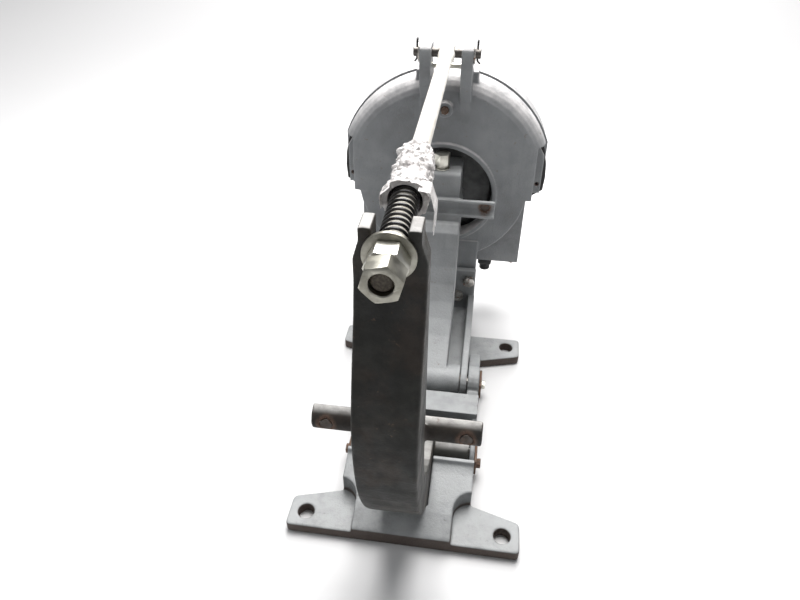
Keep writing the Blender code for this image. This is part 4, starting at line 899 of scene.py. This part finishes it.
@dataclass
class RodGear:
    """The tie rod with its thread, the take-up spring, its seat, the thrust washer and the nuts."""

    radius: float = 0.016
    eye_radius: float = 0.022
    eye_bore: float = 0.0113
    eye_half: float = 0.017
    seat_radius: float = 0.023
    seat_length: float = 0.008
    washer_radius: float = 0.0365
    thread_depth: float = 0.0019
    recess: float = 0.006
    fork_face: float = -0.430
    pitch: float = 0.00363
    thread_end: float = -0.280
    washer: float = 0.006
    nut: float = 0.030
    flats: float = 0.0508
    wire: float = 0.0045
    coil_radius: float = 0.0202
    spring_length: float = 0.158
    turns: float = 13.0

    def build(self) -> None:
        """Model every piece on the rod except its wrap."""
        self.rod()
        self.spring()
        self.seat()
        self.washer_and_nuts()

    @property
    def washer_face(self) -> float:
        """The thrust washer's outer face along Y."""
        return self.fork_face - GAP - self.washer

    def rod(self) -> None:
        """Model the rod: a chamfered threaded end, a plain length and an eye."""
        start = self.washer_face - 2 * (self.nut + GAP) + self.recess
        crest, root = self.radius - 0.00015, self.radius - self.thread_depth
        profile: Profile = [(root - 0.0016, start), (root, start + 0.0016)]
        along = start + 0.0024
        while along + self.pitch < self.thread_end:
            profile += [(crest, along + self.pitch * 0.36), (crest, along + self.pitch * 0.50),
                        (root, along + self.pitch * 0.88), (root, along + self.pitch)]
            along += self.pitch
        profile += [(crest, along + 0.003), (crest, CLEVIS_Y - 0.018)]
        bar = Bench.turned("tie_rod_bar", profile, (0.0, 0.0, ROD_HEIGHT), Axis.Y, 48)
        eye = Bench.ring("tie_rod_eye", self.eye_bore, self.eye_radius, -self.eye_half, self.eye_half,
                         (0.0, CLEVIS_Y, ROD_HEIGHT), Axis.X, 0.0015, 72)
        neck = [(self.radius - 0.0001, 0.352), (self.radius + 0.0030, 0.385), (self.radius + 0.0035, 0.4020)]
        collar = Bench.turned("tie_rod_neck", neck, (0.0, 0.0, ROD_HEIGHT), Axis.Y, 48)
        rod = Bench.join("tie_rod_turned", bar, eye, collar)
        Bench.place(rod, Body.TIE_ROD, ENAMEL, "rod_enamel", "tie_rod")

    def spring(self) -> None:
        """Wind the take-up spring: a wire section screwed through closed ends and open turns."""
        low = self.fork_face + self.wire / 2 + GAP
        high = self.fork_face + self.spring_length - self.wire / 2 - GAP
        tight = self.wire * 1.02
        open_turns = self.turns - 1.5
        open_pitch = (high - low - 1.5 * tight) / open_turns
        lengths, angle, along = [], 0.0, low
        for turns, pitch in ((0.75, tight), (open_turns, open_pitch), (0.75, tight)):
            Bench.clear()
            bpy.ops.mesh.primitive_circle_add(vertices=14, radius=self.wire / 2, fill_type="NOTHING",
                                              location=(self.coil_radius, 0.0, 0.0),
                                              rotation=(math.pi / 2, 0.0, 0.0))
            length = bpy.context.object
            bpy.ops.object.transform_apply(location=True, rotation=True, scale=True)
            Bench.apply(length, "SCREW", angle=math.tau * turns, screw_offset=pitch * turns, axis="Z",
                        steps=max(24, int(32 * turns)), render_steps=max(24, int(32 * turns)))
            length.matrix_world = Matrix.Translation((0.0, 0.0, along)) @ Matrix.Rotation(angle, 4, "Z")
            Bench.choose(length)
            bpy.ops.object.transform_apply(location=True, rotation=True, scale=True)
            lengths.append(length)
            angle, along = angle + math.tau * turns, along + pitch * turns
        spring = Bench.join("take_up_spring_wound", *lengths)
        bpy.ops.object.mode_set(mode="EDIT")
        bpy.ops.mesh.select_all(action="SELECT")
        bpy.ops.mesh.remove_doubles(threshold=0.0001)
        bpy.ops.mesh.fill_holes(sides=20)
        bpy.ops.object.mode_set(mode="OBJECT")
        spring.matrix_world = Matrix.Translation((0.0, 0.0, ROD_HEIGHT)) @ Axis.Y.matrix()
        Bench.settle(spring, 60.0)
        Bench.place(spring, Body.TIE_ROD, BLACKENED, "black_steel", "take_up_spring")

    def seat(self) -> None:
        """Turn the collar that the spring bears on."""
        start = self.fork_face + self.spring_length
        collar = Bench.ring("spring_seat", self.radius + GAP, self.seat_radius, start,
                            start + self.seat_length,
                            (0.0, 0.0, ROD_HEIGHT), Axis.Y, 0.0008)
        Bench.place(collar, Body.TIE_ROD, BLACKENED, "black_steel", "spring_collar")

    def washer_and_nuts(self) -> None:
        """Model the thrust washer, and the adjusting and jam nuts outside it."""
        washer = Bench.ring("thrust_washer_pressed", self.radius + 2 * GAP, self.washer_radius,
                            self.washer_face,
                            self.fork_face - GAP, (0.0, 0.0, ROD_HEIGHT), Axis.Y, 0.0010, 96)
        # Painted shade: the thrust washer takes the darker copy of the zinc.
        Bench.place(washer, Body.THRUST_WASHER, ZINC_WITH_PAINTED_SHADE, "zinc", "thrust_washer")
        face = self.washer_face - GAP
        # Painted shade: the jam nut takes the darker copy of the zinc, the adjusting nut the plain zinc.
        for name, turn, finish in (("adjusting_nut", 30, ZINC), ("jam_nut", 44, ZINC_WITH_PAINTED_SHADE)):
            nut = Bench.hexagon(name + "_forged", self.flats, self.nut, math.radians(turn),
                                (0.0, face, ROD_HEIGHT),
                                TO_FRONT, self.radius + GAP)
            Bench.place(nut, Body.ROD_NUTS, finish, "zinc", name)
            face -= self.nut + GAP


@dataclass
class RodWrap:
    """The packing film wound round the tie rod, with its loose ends."""

    front: float = -0.290
    length: float = 0.165
    radius: float = 0.027
    flare: float = 0.034
    turns: int = 96
    rings: int = 110
    thickness: float = 0.0004
    flared_share: float = 0.35
    gathered_share: float = 0.92
    bore: float = 0.0262
    rod_bore: float = 0.0168
    gathered: float = 0.0185
    step: float = 0.034
    flaps: list[tuple[str, list[Point], float]] = field(default_factory=lambda: [
        ("wrap_flap_right", [(0.020, -0.286, 0.839), (0.037, -0.289, 0.838), (0.0455, -0.290, 0.810),
                             (0.0430, -0.287, 0.768)], 0.034),
        ("wrap_flap_left", [(-0.022, -0.284, 0.837), (-0.0345, -0.286, 0.826), (-0.0350, -0.286, 0.804)],
         0.026)])

    def girth(self, share: float) -> float:
        """The wrap's radius at a share of its length, from the flared front to the gathered end."""
        if share < self.flared_share:
            ease = 1.0 - share / self.flared_share
            return self.radius + (self.flare - self.radius) * ease ** 1.5
        swell = self.radius + 0.0025 * math.sin(math.pi * min(1.0, (share - self.flared_share) / 0.57))
        if share > self.gathered_share:
            return self.radius - (self.radius - self.gathered) * ((share - self.gathered_share) / 0.08) ** 2
        return swell

    def build(self) -> None:
        """Model the wound film and its loose ends."""
        profile = [(self.bore, 0.022), (self.bore, 0.0)]
        profile += [(self.girth(step / self.rings), self.length * step / self.rings)
                    for step in range(self.rings + 1)]
        profile += [(self.rod_bore, self.length), (self.rod_bore, self.step), (self.bore, self.step)]
        film = Bench.turned("rod_film", profile, (0.0, self.front, ROD_HEIGHT), Axis.Y, self.turns, True)
        for scale, strength, creased in ((0.024, 0.0170, False), (0.011, 0.0090, True)):
            folds = bpy.data.textures.new("film_folds", "CLOUDS")
            folds.noise_scale = scale
            folds.noise_type = "HARD_NOISE" if creased else "SOFT_NOISE"
            group = film.vertex_groups.new(name="outside")
            group.add([vertex.index for vertex in film.data.vertices
                       if math.hypot(vertex.co.x, vertex.co.z - ROD_HEIGHT) > 0.0266], 1.0, "REPLACE")
            Bench.apply(film, "DISPLACE", texture=folds, strength=strength,
                        mid_level=0.3 if creased else 0.5, vertex_group=group.name)
            film.vertex_groups.clear()
        Bench.choose(film)
        bpy.ops.object.shade_smooth_by_angle(angle=math.radians(42))
        Bench.place(film, Body.TIE_ROD, FILM, "wrap_film", "rod_wrap")
        for name, path, width in self.flaps:
            self.flap(name, [Vector(point) for point in path], width)

    def flap(self, name: str, path: list[Vector], width: float) -> None:
        """Hang one loose end of film along a path.

        Args:
            name: its name.
            path: points it hangs through.
            width: its width along Y.
        """
        length = sum((b - a).length for a, b in zip(path, path[1:]))
        Bench.clear()
        bpy.ops.mesh.primitive_grid_add(x_subdivisions=40, y_subdivisions=20, size=1.0,
                                        location=(0.0, 0.0, 0.0))
        sheet = bpy.context.object
        sheet.name = sheet.data.name = name
        for vertex in sheet.data.vertices:
            share, across = vertex.co.x + 0.5, vertex.co.y
            gone, spot = share * length, path[-1].copy()
            for a, b in zip(path, path[1:]):
                step = (b - a).length
                if gone <= step:
                    spot = a.lerp(b, gone / step)
                    break
                gone -= step
            ripple = math.sin(across * 9.0 + share * 5.0) * 0.0016 * share
            ragged = 1.0 - 0.10 * share * (0.5 + 0.5 * math.sin(share * 23.0))
            vertex.co = spot + Vector((ripple, across * width * ragged, ripple * 0.4))
        sheet.data.update()
        Bench.apply(sheet, "SOLIDIFY", thickness=self.thickness, offset=0.0)
        Bench.settle(sheet, 60.0)
        Bench.place(sheet, Body.TIE_ROD, FILM, "wrap_film")


@dataclass
class ClevisGear:
    """The clevis pin with its washers and cotter pins, the cross bar and the boss plug."""

    pin_radius: float = 0.011
    ear_outer: float = 0.062
    ear_inner: float = 0.035
    bar_radius: float = 0.0065
    bar_y: float = 0.448
    bar_z: float = 0.776
    boss_y: float = 0.428
    boss_z: float = 0.673
    pin_overhang: float = 0.016
    washer_radius: float = 0.023
    washer_thickness: float = 0.004
    bar_sink: float = 0.0057
    plug_flats: float = 0.017
    plug_height: float = 0.006
    plug_radius: float = 0.0099
    cotter_wire: float = 0.0022

    def build(self) -> None:
        """Model every piece at the case's ears."""
        half = self.ear_outer + GAP + self.pin_overhang
        pin = Bench.turned("clevis_pin_turned", chamfered(self.pin_radius, -half, half, 0.0012),
                           (0.0, CLEVIS_Y, ROD_HEIGHT), Axis.X, 64)
        Bench.place(pin, Body.MAGNET_CASE, DARK_STEEL, "machined_steel", "clevis_pin")
        for hand, side in SIDES:
            low = self.ear_outer + GAP
            low, high = sorted((low * side, (low + self.washer_thickness) * side))
            washer = Bench.ring(f"clevis_washer_{hand}_pressed", self.pin_radius + GAP, self.washer_radius,
                                low, high,
                                (0.0, CLEVIS_Y, ROD_HEIGHT), Axis.X, 0.0007)
            Bench.place(washer, Body.MAGNET_CASE, MACHINED, "machined_steel", f"clevis_washer_{hand}")
            self.cotter(hand, side)
        reach = self.ear_inner + self.bar_sink
        bar = Bench.turned("cross_bar", chamfered(self.bar_radius, -reach, reach, 0.0006),
                           (0.0, self.bar_y, self.bar_z), Axis.X, 48)
        Bench.place(bar, Body.MAGNET_CASE, ZINC, "zinc", "ear_cross_bar")
        head = Bench.hexagon("plug_head", self.plug_flats, self.plug_height, 0.2,
                             (0.0, self.boss_y - GAP, self.boss_z),
                             TO_FRONT, both=False)
        plug = Bench.bolt("case_plug_hex", head, [(self.plug_radius, 0.003), (self.plug_radius, 0.021)],
                          (0.0, self.boss_y, self.boss_z), Axis.Y)
        Bench.place(plug, Body.MAGNET_CASE, RUSTY, "rusty_steel", "case_plug")

    def cotter(self, hand: str, side: float) -> None:
        """Bend one cotter pin from a swept wire.

        Args:
            hand: left or right.
            side: its side along the axle.
        """
        x = (self.ear_outer + GAP + 0.008) * side
        route = [(0.0, 0.0025, 0.0190), (0.0, 0.0070, 0.0215), (0.0, 0.0105, 0.0245), (0.0, 0.0085, 0.0275),
                 (0.0, 0.0035, 0.0275), (0.0, 0.0005, 0.0240), (0.0, 0.0, 0.0180), (0.0, 0.0, 0.0060),
                 (0.0, 0.0, -0.0060), (0.0, 0.0, -0.0150), (0.0020, 0.0030, -0.0195),
                 (0.0060, 0.0115, -0.0255)]
        Bench.clear()
        bpy.ops.curve.primitive_nurbs_path_add(radius=0.01, location=(0.0, 0.0, 0.0))
        wire = bpy.context.object
        wire.name = f"cotter_pin_{hand}_bent"
        spline = wire.data.splines[0]
        spline.points.add(len(route) - len(spline.points))
        for point, (out, along, up) in zip(spline.points, route):
            point.co = (x + out * side, CLEVIS_Y + along, ROD_HEIGHT + up, 1.0)
        spline.order_u, spline.use_endpoint_u = 3, True
        wire.data.bevel_depth, wire.data.bevel_resolution = self.cotter_wire, 4
        wire.data.use_fill_caps = True
        Bench.choose(wire)
        bpy.ops.object.convert(target="MESH")
        wire = bpy.context.object
        Bench.settle(wire, 50.0)
        Bench.place(wire, Body.MAGNET_CASE, BLACKENED, "black_steel", f"cotter_pin_{hand}")


@dataclass
class LeverGear:
    """The saddle dowels, the levelling bolt on the inner lever's block, and the armature on its back."""

    y: float = 0.417
    block_top: float = 0.524
    armature_front: float = 0.490
    armature_thickness: float = 0.018
    armature_radius: float = 0.128
    washer_bore: float = 0.0123
    flat_radius: float = 0.0205
    lock_radius: float = 0.0170
    bolt_flats: float = 0.0360
    bolt_height: float = 0.0300
    bolt_radius: float = 0.0118
    bolt_depth: float = 0.0600
    flat_height: float = 0.004
    lock_height: float = 0.007
    saddle_y: float = 0.372
    dowel_x: float = 0.119
    dowel_radius: float = 0.011

    def build(self) -> None:
        """Model the bolt, its washers, the dowels, the armature and its bolts."""
        low = self.block_top + GAP
        flat = Bench.ring("levelling_washer_pressed", self.washer_bore, self.flat_radius,
                          0.0, self.flat_height,
                          (0.0, self.y, low), Axis.Z, 0.0007)
        Bench.place(flat, Body.INNER_LEVER, ZINC, "zinc", "levelling_washer")
        low += self.flat_height + GAP
        lock = Bench.ring("levelling_spring_washer", self.washer_bore, self.lock_radius,
                          0.0, self.lock_height,
                          (0.0, self.y, low), Axis.Z, 0.0009)
        # Painted shade: the spring washer takes the darker copy of the zinc.
        Bench.place(lock, Body.INNER_LEVER, ZINC_WITH_PAINTED_SHADE, "machined_steel", "levelling_lock_washer")
        low += self.lock_height + GAP
        head = Bench.hexagon("levelling_head", self.bolt_flats, self.bolt_height, math.radians(50),
                             (0.0, self.y, low),
                             Matrix.Identity(4), both=False, chamfer=0.08)
        stem = [(self.bolt_radius - 0.001, -self.bolt_depth), (self.bolt_radius, -self.bolt_depth + 0.0015),
                (self.bolt_radius, low - self.block_top + 0.004)]
        bolt = Bench.bolt("levelling_bolt_forged", head, stem, (0.0, self.y, self.block_top), Axis.Z, 40)
        Bench.place(bolt, Body.INNER_LEVER, ZINC, "zinc", "levelling_bolt")
        for lever, body, away in (("outer", Body.OUTER_LEVER, -1.0), ("inner", Body.INNER_LEVER, 1.0)):
            for hand, side in SIDES:
                self.dowel(f"{lever}_saddle_dowel_{hand}", body, self.dowel_x * side,
                           self.saddle_y * away, away)
        self.armature()

    def dowel(self, node: str, body: Body, x: float, y: float, away: float) -> None:
        """Turn one dull dowel end in a saddle arm.

        Args:
            node: the CAD node it stands for.
            body: the lever it is driven into.
            x: its place along the axle.
            y: centre line of the saddle.
            away: direction along Y that leads out of the arm.
        """
        low, high = sorted((away * 0.0173, away * 0.0235))
        profile = chamfered(self.dowel_radius, low, high, 0.0009)
        piece = Bench.turned(node + "_turned", profile, (x, y, WHEEL_HEIGHT), Axis.Y, 48)
        Bench.place(piece, body, DOWEL_STEEL, "rusty_steel", node)

    def armature(self) -> None:
        """Turn the armature disc, drill it and model its countersunk bolts."""
        front, back = self.armature_front, self.armature_front + self.armature_thickness
        profile = chamfered(self.armature_radius, front, back, 0.0012)
        disc = Bench.turned("armature_disc", profile, (0.0, 0.0, BORE_CENTRE), Axis.Y, 128)
        places = [(0.032 * i, BORE_CENTRE + 0.044 * k) for i in (1, -1) for k in (1, -1)]
        for x, z in places:
            drill = Bench.turned("armature_drill", [(0.0063, front - 0.01), (0.0063, back - 0.009),
                                                    (0.0105, back - 0.0089), (0.0105, back + 0.01)],
                                 (x, 0.0, z), Axis.Y, 32)
            Bench.cut(disc, drill)
        Bench.settle(disc, 30.0)
        Bench.place(disc, Body.INNER_LEVER, IRON, "black_steel", "armature")
        for number, (x, z) in enumerate(places, 1):
            head = Bench.turned(f"armature_bolt_{number}_turned",
                                [(0.0058, front - 0.028), (0.0060, front - 0.027), (0.0060, back - 0.0087),
                                 (0.0098, back - 0.0086), (0.0098, back - 0.0018), (0.0090, back - 0.001)],
                                (x, 0.0, z), Axis.Y, 32)
            socket = Bench.turned("bolt_socket", [(0.0055, back - 0.005), (0.0055, back + 0.005)],
                                  (x, 0.0, z), Axis.Y, 6)
            Bench.cut(head, socket)
            Bench.settle(head, 30.0)
            Bench.place(head, Body.INNER_LEVER, BLACKENED, "black_steel", f"armature_bolt_{number}")


@dataclass
class CaseTrim:
    """The bracket bolts, the cover's screws, the lead outlet and the torque screw behind."""

    cover_back: float = 0.580
    cover_front: float = 0.5104
    cover_bottom: float = 0.194
    neck_front: float = 0.4455
    flange: float = 0.020
    bolt_flats: float = 0.030
    bolt_height: float = 0.012
    bolt_radius: float = 0.0098
    bolt_reach: float = 0.060
    screw_x: float = 0.212
    screw_flats: float = 0.013
    lock_nut: tuple[float, float, float] = (0.030, 0.010, 0.0093)
    outlet_x: float = 0.134
    outlet_size: Point = (0.040, 0.034, 0.026)

    def build(self) -> None:
        """Model every small piece on the case, its cover and its bracket."""
        seat = self.neck_front - GAP - self.flange - GAP
        for row, (x, z) in (("upper", (0.092, 0.166)), ("lower", (0.064, 0.112))):
            for hand, side in SIDES:
                head = Bench.hexagon("bracket_head", self.bolt_flats, self.bolt_height, 0.3,
                                     (x * side, seat, z), TO_FRONT,
                                     both=False)
                stem = [(self.bolt_radius, -0.002), (self.bolt_radius, self.bolt_reach)]
                bolt = Bench.bolt(f"bracket_bolt_{row}_{hand}_forged", head, stem,
                                  (x * side, seat, z), Axis.Y)
                Bench.place(bolt, Body.MAGNET_CASE, MACHINED, "machined_steel", f"bracket_bolt_{row}_{hand}")
        for hand, side in SIDES:
            screw = Bench.hexagon(f"cover_screw_{hand}_hex", self.screw_flats, self.bolt_height, 0.1,
                                  (self.screw_x * side, self.cover_front + 0.009, self.cover_bottom - GAP),
                                  Matrix.Rotation(math.pi, 4, "X"), both=False)
            Bench.place(screw, Body.MAGNET_CASE, RUSTY, "rusty_steel", f"cover_screw_{hand}")
        self.outlet()
        flats, height, bore = self.lock_nut
        nut = Bench.hexagon("torque_nut_hex", flats, height, 0.0, (0.0, self.cover_back + GAP, BORE_CENTRE),
                            TO_BACK, bore)
        Bench.place(nut, Body.MAGNET_CASE, ZINC, "zinc", "torque_lock_nut")
        seat_y = 0.548
        thread: Profile = [(0.0300, seat_y - 0.004), (0.0300, seat_y), (0.0092, seat_y + 0.0001)]
        along, crest, root = seat_y + 0.006, 0.0090, 0.0080
        while along < self.cover_back + 0.0135:
            thread += [(crest, along), (crest, along + 0.0004), (root, along + 0.0012),
                       (root, along + 0.0016)]
            along += 0.0020
        thread += [(0.0078, self.cover_back + 0.0160)]
        screw = Bench.turned("torque_screw_turned", thread, (0.0, 0.0, BORE_CENTRE), Axis.Y, 40)
        Bench.place(screw, Body.MAGNET_CASE, ZINC, "zinc", "torque_adjusting_screw")

    def outlet(self) -> None:
        """Mould the cable outlet: a stepped rubber gland with a bore."""
        top = self.cover_bottom - GAP
        x, y = self.outlet_x, self.cover_front + 0.019
        block = Bench.cube((x, y, top - self.outlet_size[2] / 2), self.outlet_size)
        Bench.apply(block, "BEVEL", width=0.0045, segments=4)
        steps = [(0.0135, -0.048), (0.0155, -0.0465), (0.0155, -0.040), (0.0140, -0.039),
                 (0.0140, -0.036), (0.0165, -0.034), (0.0165, -0.020)]
        neck = Bench.turned("outlet_neck", steps, (x + 0.001, y + 0.001, top), Axis.Z, 48)
        Bench.cut(block, neck, "UNION")
        drill = Bench.turned("outlet_drill", [(0.0096, -0.0600), (0.0090, -0.0470), (0.0090, -0.0080)],
                             (x + 0.001, y + 0.001, top), Axis.Z, 48)
        Bench.cut(block, drill)
        block.name = block.data.name = "lead_outlet_gland"
        Bench.settle(block, 35.0)
        Bench.place(block, Body.MAGNET_CASE, RUBBER, "gasket_rubber", "lead_outlet")


INNER_NODES: dict[str, object] = {
    "magnet_core": IRON, "magnet_coil": COIL_TAPE, "case_gasket": RUBBER,
    "outer_lever_bushing": BRONZE, "inner_lever_bushing": BRONZE,
    "bracket_bushing_left": BRONZE, "bracket_bushing_right": BRONZE,
}


def dress_inner_nodes() -> None:
    """Give the CAD pieces that stay, all of them inside, their finishes."""
    for node, finish in INNER_NODES.items():
        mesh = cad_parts[node].data
        mesh.materials.clear()
        mesh.materials.append(FinishShelf.take(finish))
        LOG.info("%s: dressed", node)


def pressed_spring() -> None:
    """Copy the torque spring, which shortens towards its screw as the armature comes in."""
    spring = Bench.copied("torque_spring", "torque_spring_coil")
    Bench.settle(spring, 35.0)
    Bench.place(spring, Body.MAGNET_CASE, BLACKENED, "black_steel", "torque_spring")
    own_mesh(spring)


@dataclass
class Studio:
    """The pale floor, the soft lights and the camera."""

    eye: Point = (0.1093, -1.0890, 1.2609)
    heading: Point = (-0.1442, 0.9896, 0.0)
    pitch: float = 37.87
    lens: float = 28.47
    floor: Colour = (0.66, 0.66, 0.66)

    def build(self) -> None:
        """Set up the whole studio."""
        self.camera()
        self.ground()
        self.lights()

    def camera(self) -> None:
        """Place the camera."""
        Bench.clear()
        level = Vector(self.heading).normalized() * math.cos(math.radians(self.pitch))
        look = level - Vector((0.0, 0.0, math.sin(math.radians(self.pitch))))
        bpy.ops.object.camera_add(location=self.eye, rotation=look.to_track_quat("-Z", "Y").to_euler())
        camera = bpy.context.object
        camera.data.lens = self.lens
        camera.data.clip_start = 0.01
        bpy.context.scene.camera = camera

    def ground(self) -> None:
        """Lay the floor."""
        Bench.clear()
        bpy.ops.mesh.primitive_plane_add(size=24.0, location=(0.0, 0.0, -0.0005))
        floor = bpy.context.object
        floor.name = "studio_floor"
        made = Recipe("studio floor")
        tone = made.mix(made.noise(0.8, 3.0), self.floor, tuple(c * 0.97 for c in self.floor))
        made.put(made.shader.inputs["Base Color"], tone)
        made.shader.inputs["Roughness"].default_value = 0.9
        floor.data.materials.append(made.material)

    def lights(self) -> None:
        """Hang a large soft light above and behind, a fill in front, and light the air."""
        for name, spot, size, power, colour in (
                ("sky", (0.10, 0.95, 3.0), 2.2, 165.0, (1.0, 0.99, 0.985)),
                ("far sky", (0.0, 7.0, 5.0), 5.0, 700.0, (1.0, 0.99, 0.99)),
                ("left fill", (-2.4, -0.4, 1.9), 1.8, 16.0, (0.97, 0.985, 1.0)),
                ("front fill", (1.2, -2.6, 2.2), 1.8, 5.0, (0.98, 0.99, 1.0))):
            Bench.clear()
            aim = Vector((0.0, 0.0, 0.45)) - Vector(spot)
            bpy.ops.object.light_add(type="AREA", location=spot,
                                     rotation=aim.to_track_quat("-Z", "Y").to_euler())
            light = bpy.context.object
            light.name = name
            light.data.shape, light.data.size = "DISK", size
            light.data.energy, light.data.color = power, colour
        world = bpy.context.scene.world or bpy.data.worlds.new("air")
        bpy.context.scene.world = world
        world.use_nodes = True
        background = world.node_tree.nodes["Background"]
        background.inputs["Color"].default_value = (0.96, 0.97, 1.0, 1.0)
        background.inputs["Strength"].default_value = 0.22
        bpy.context.scene.view_settings.view_transform = "Standard"


def main() -> None:
    """Build the studio and every sub-assembly, and report each piece."""
    logging.basicConfig(level=logging.INFO, format="%(message)s")
    Studio().build()
    for casting in CASTINGS:
        casting.build()
    PlatePiece("back_plate", Body.MAGNET_CASE, CASE_PAINT, "sprayed_paint").build()
    for assembly in (HingeGear(), RodGear(), RodWrap(), ClevisGear(), LeverGear(), CaseTrim()):
        assembly.build()
    dress_inner_nodes()
    pressed_spring()
    Bench.clear()


if __name__ == "__main__":
    main()
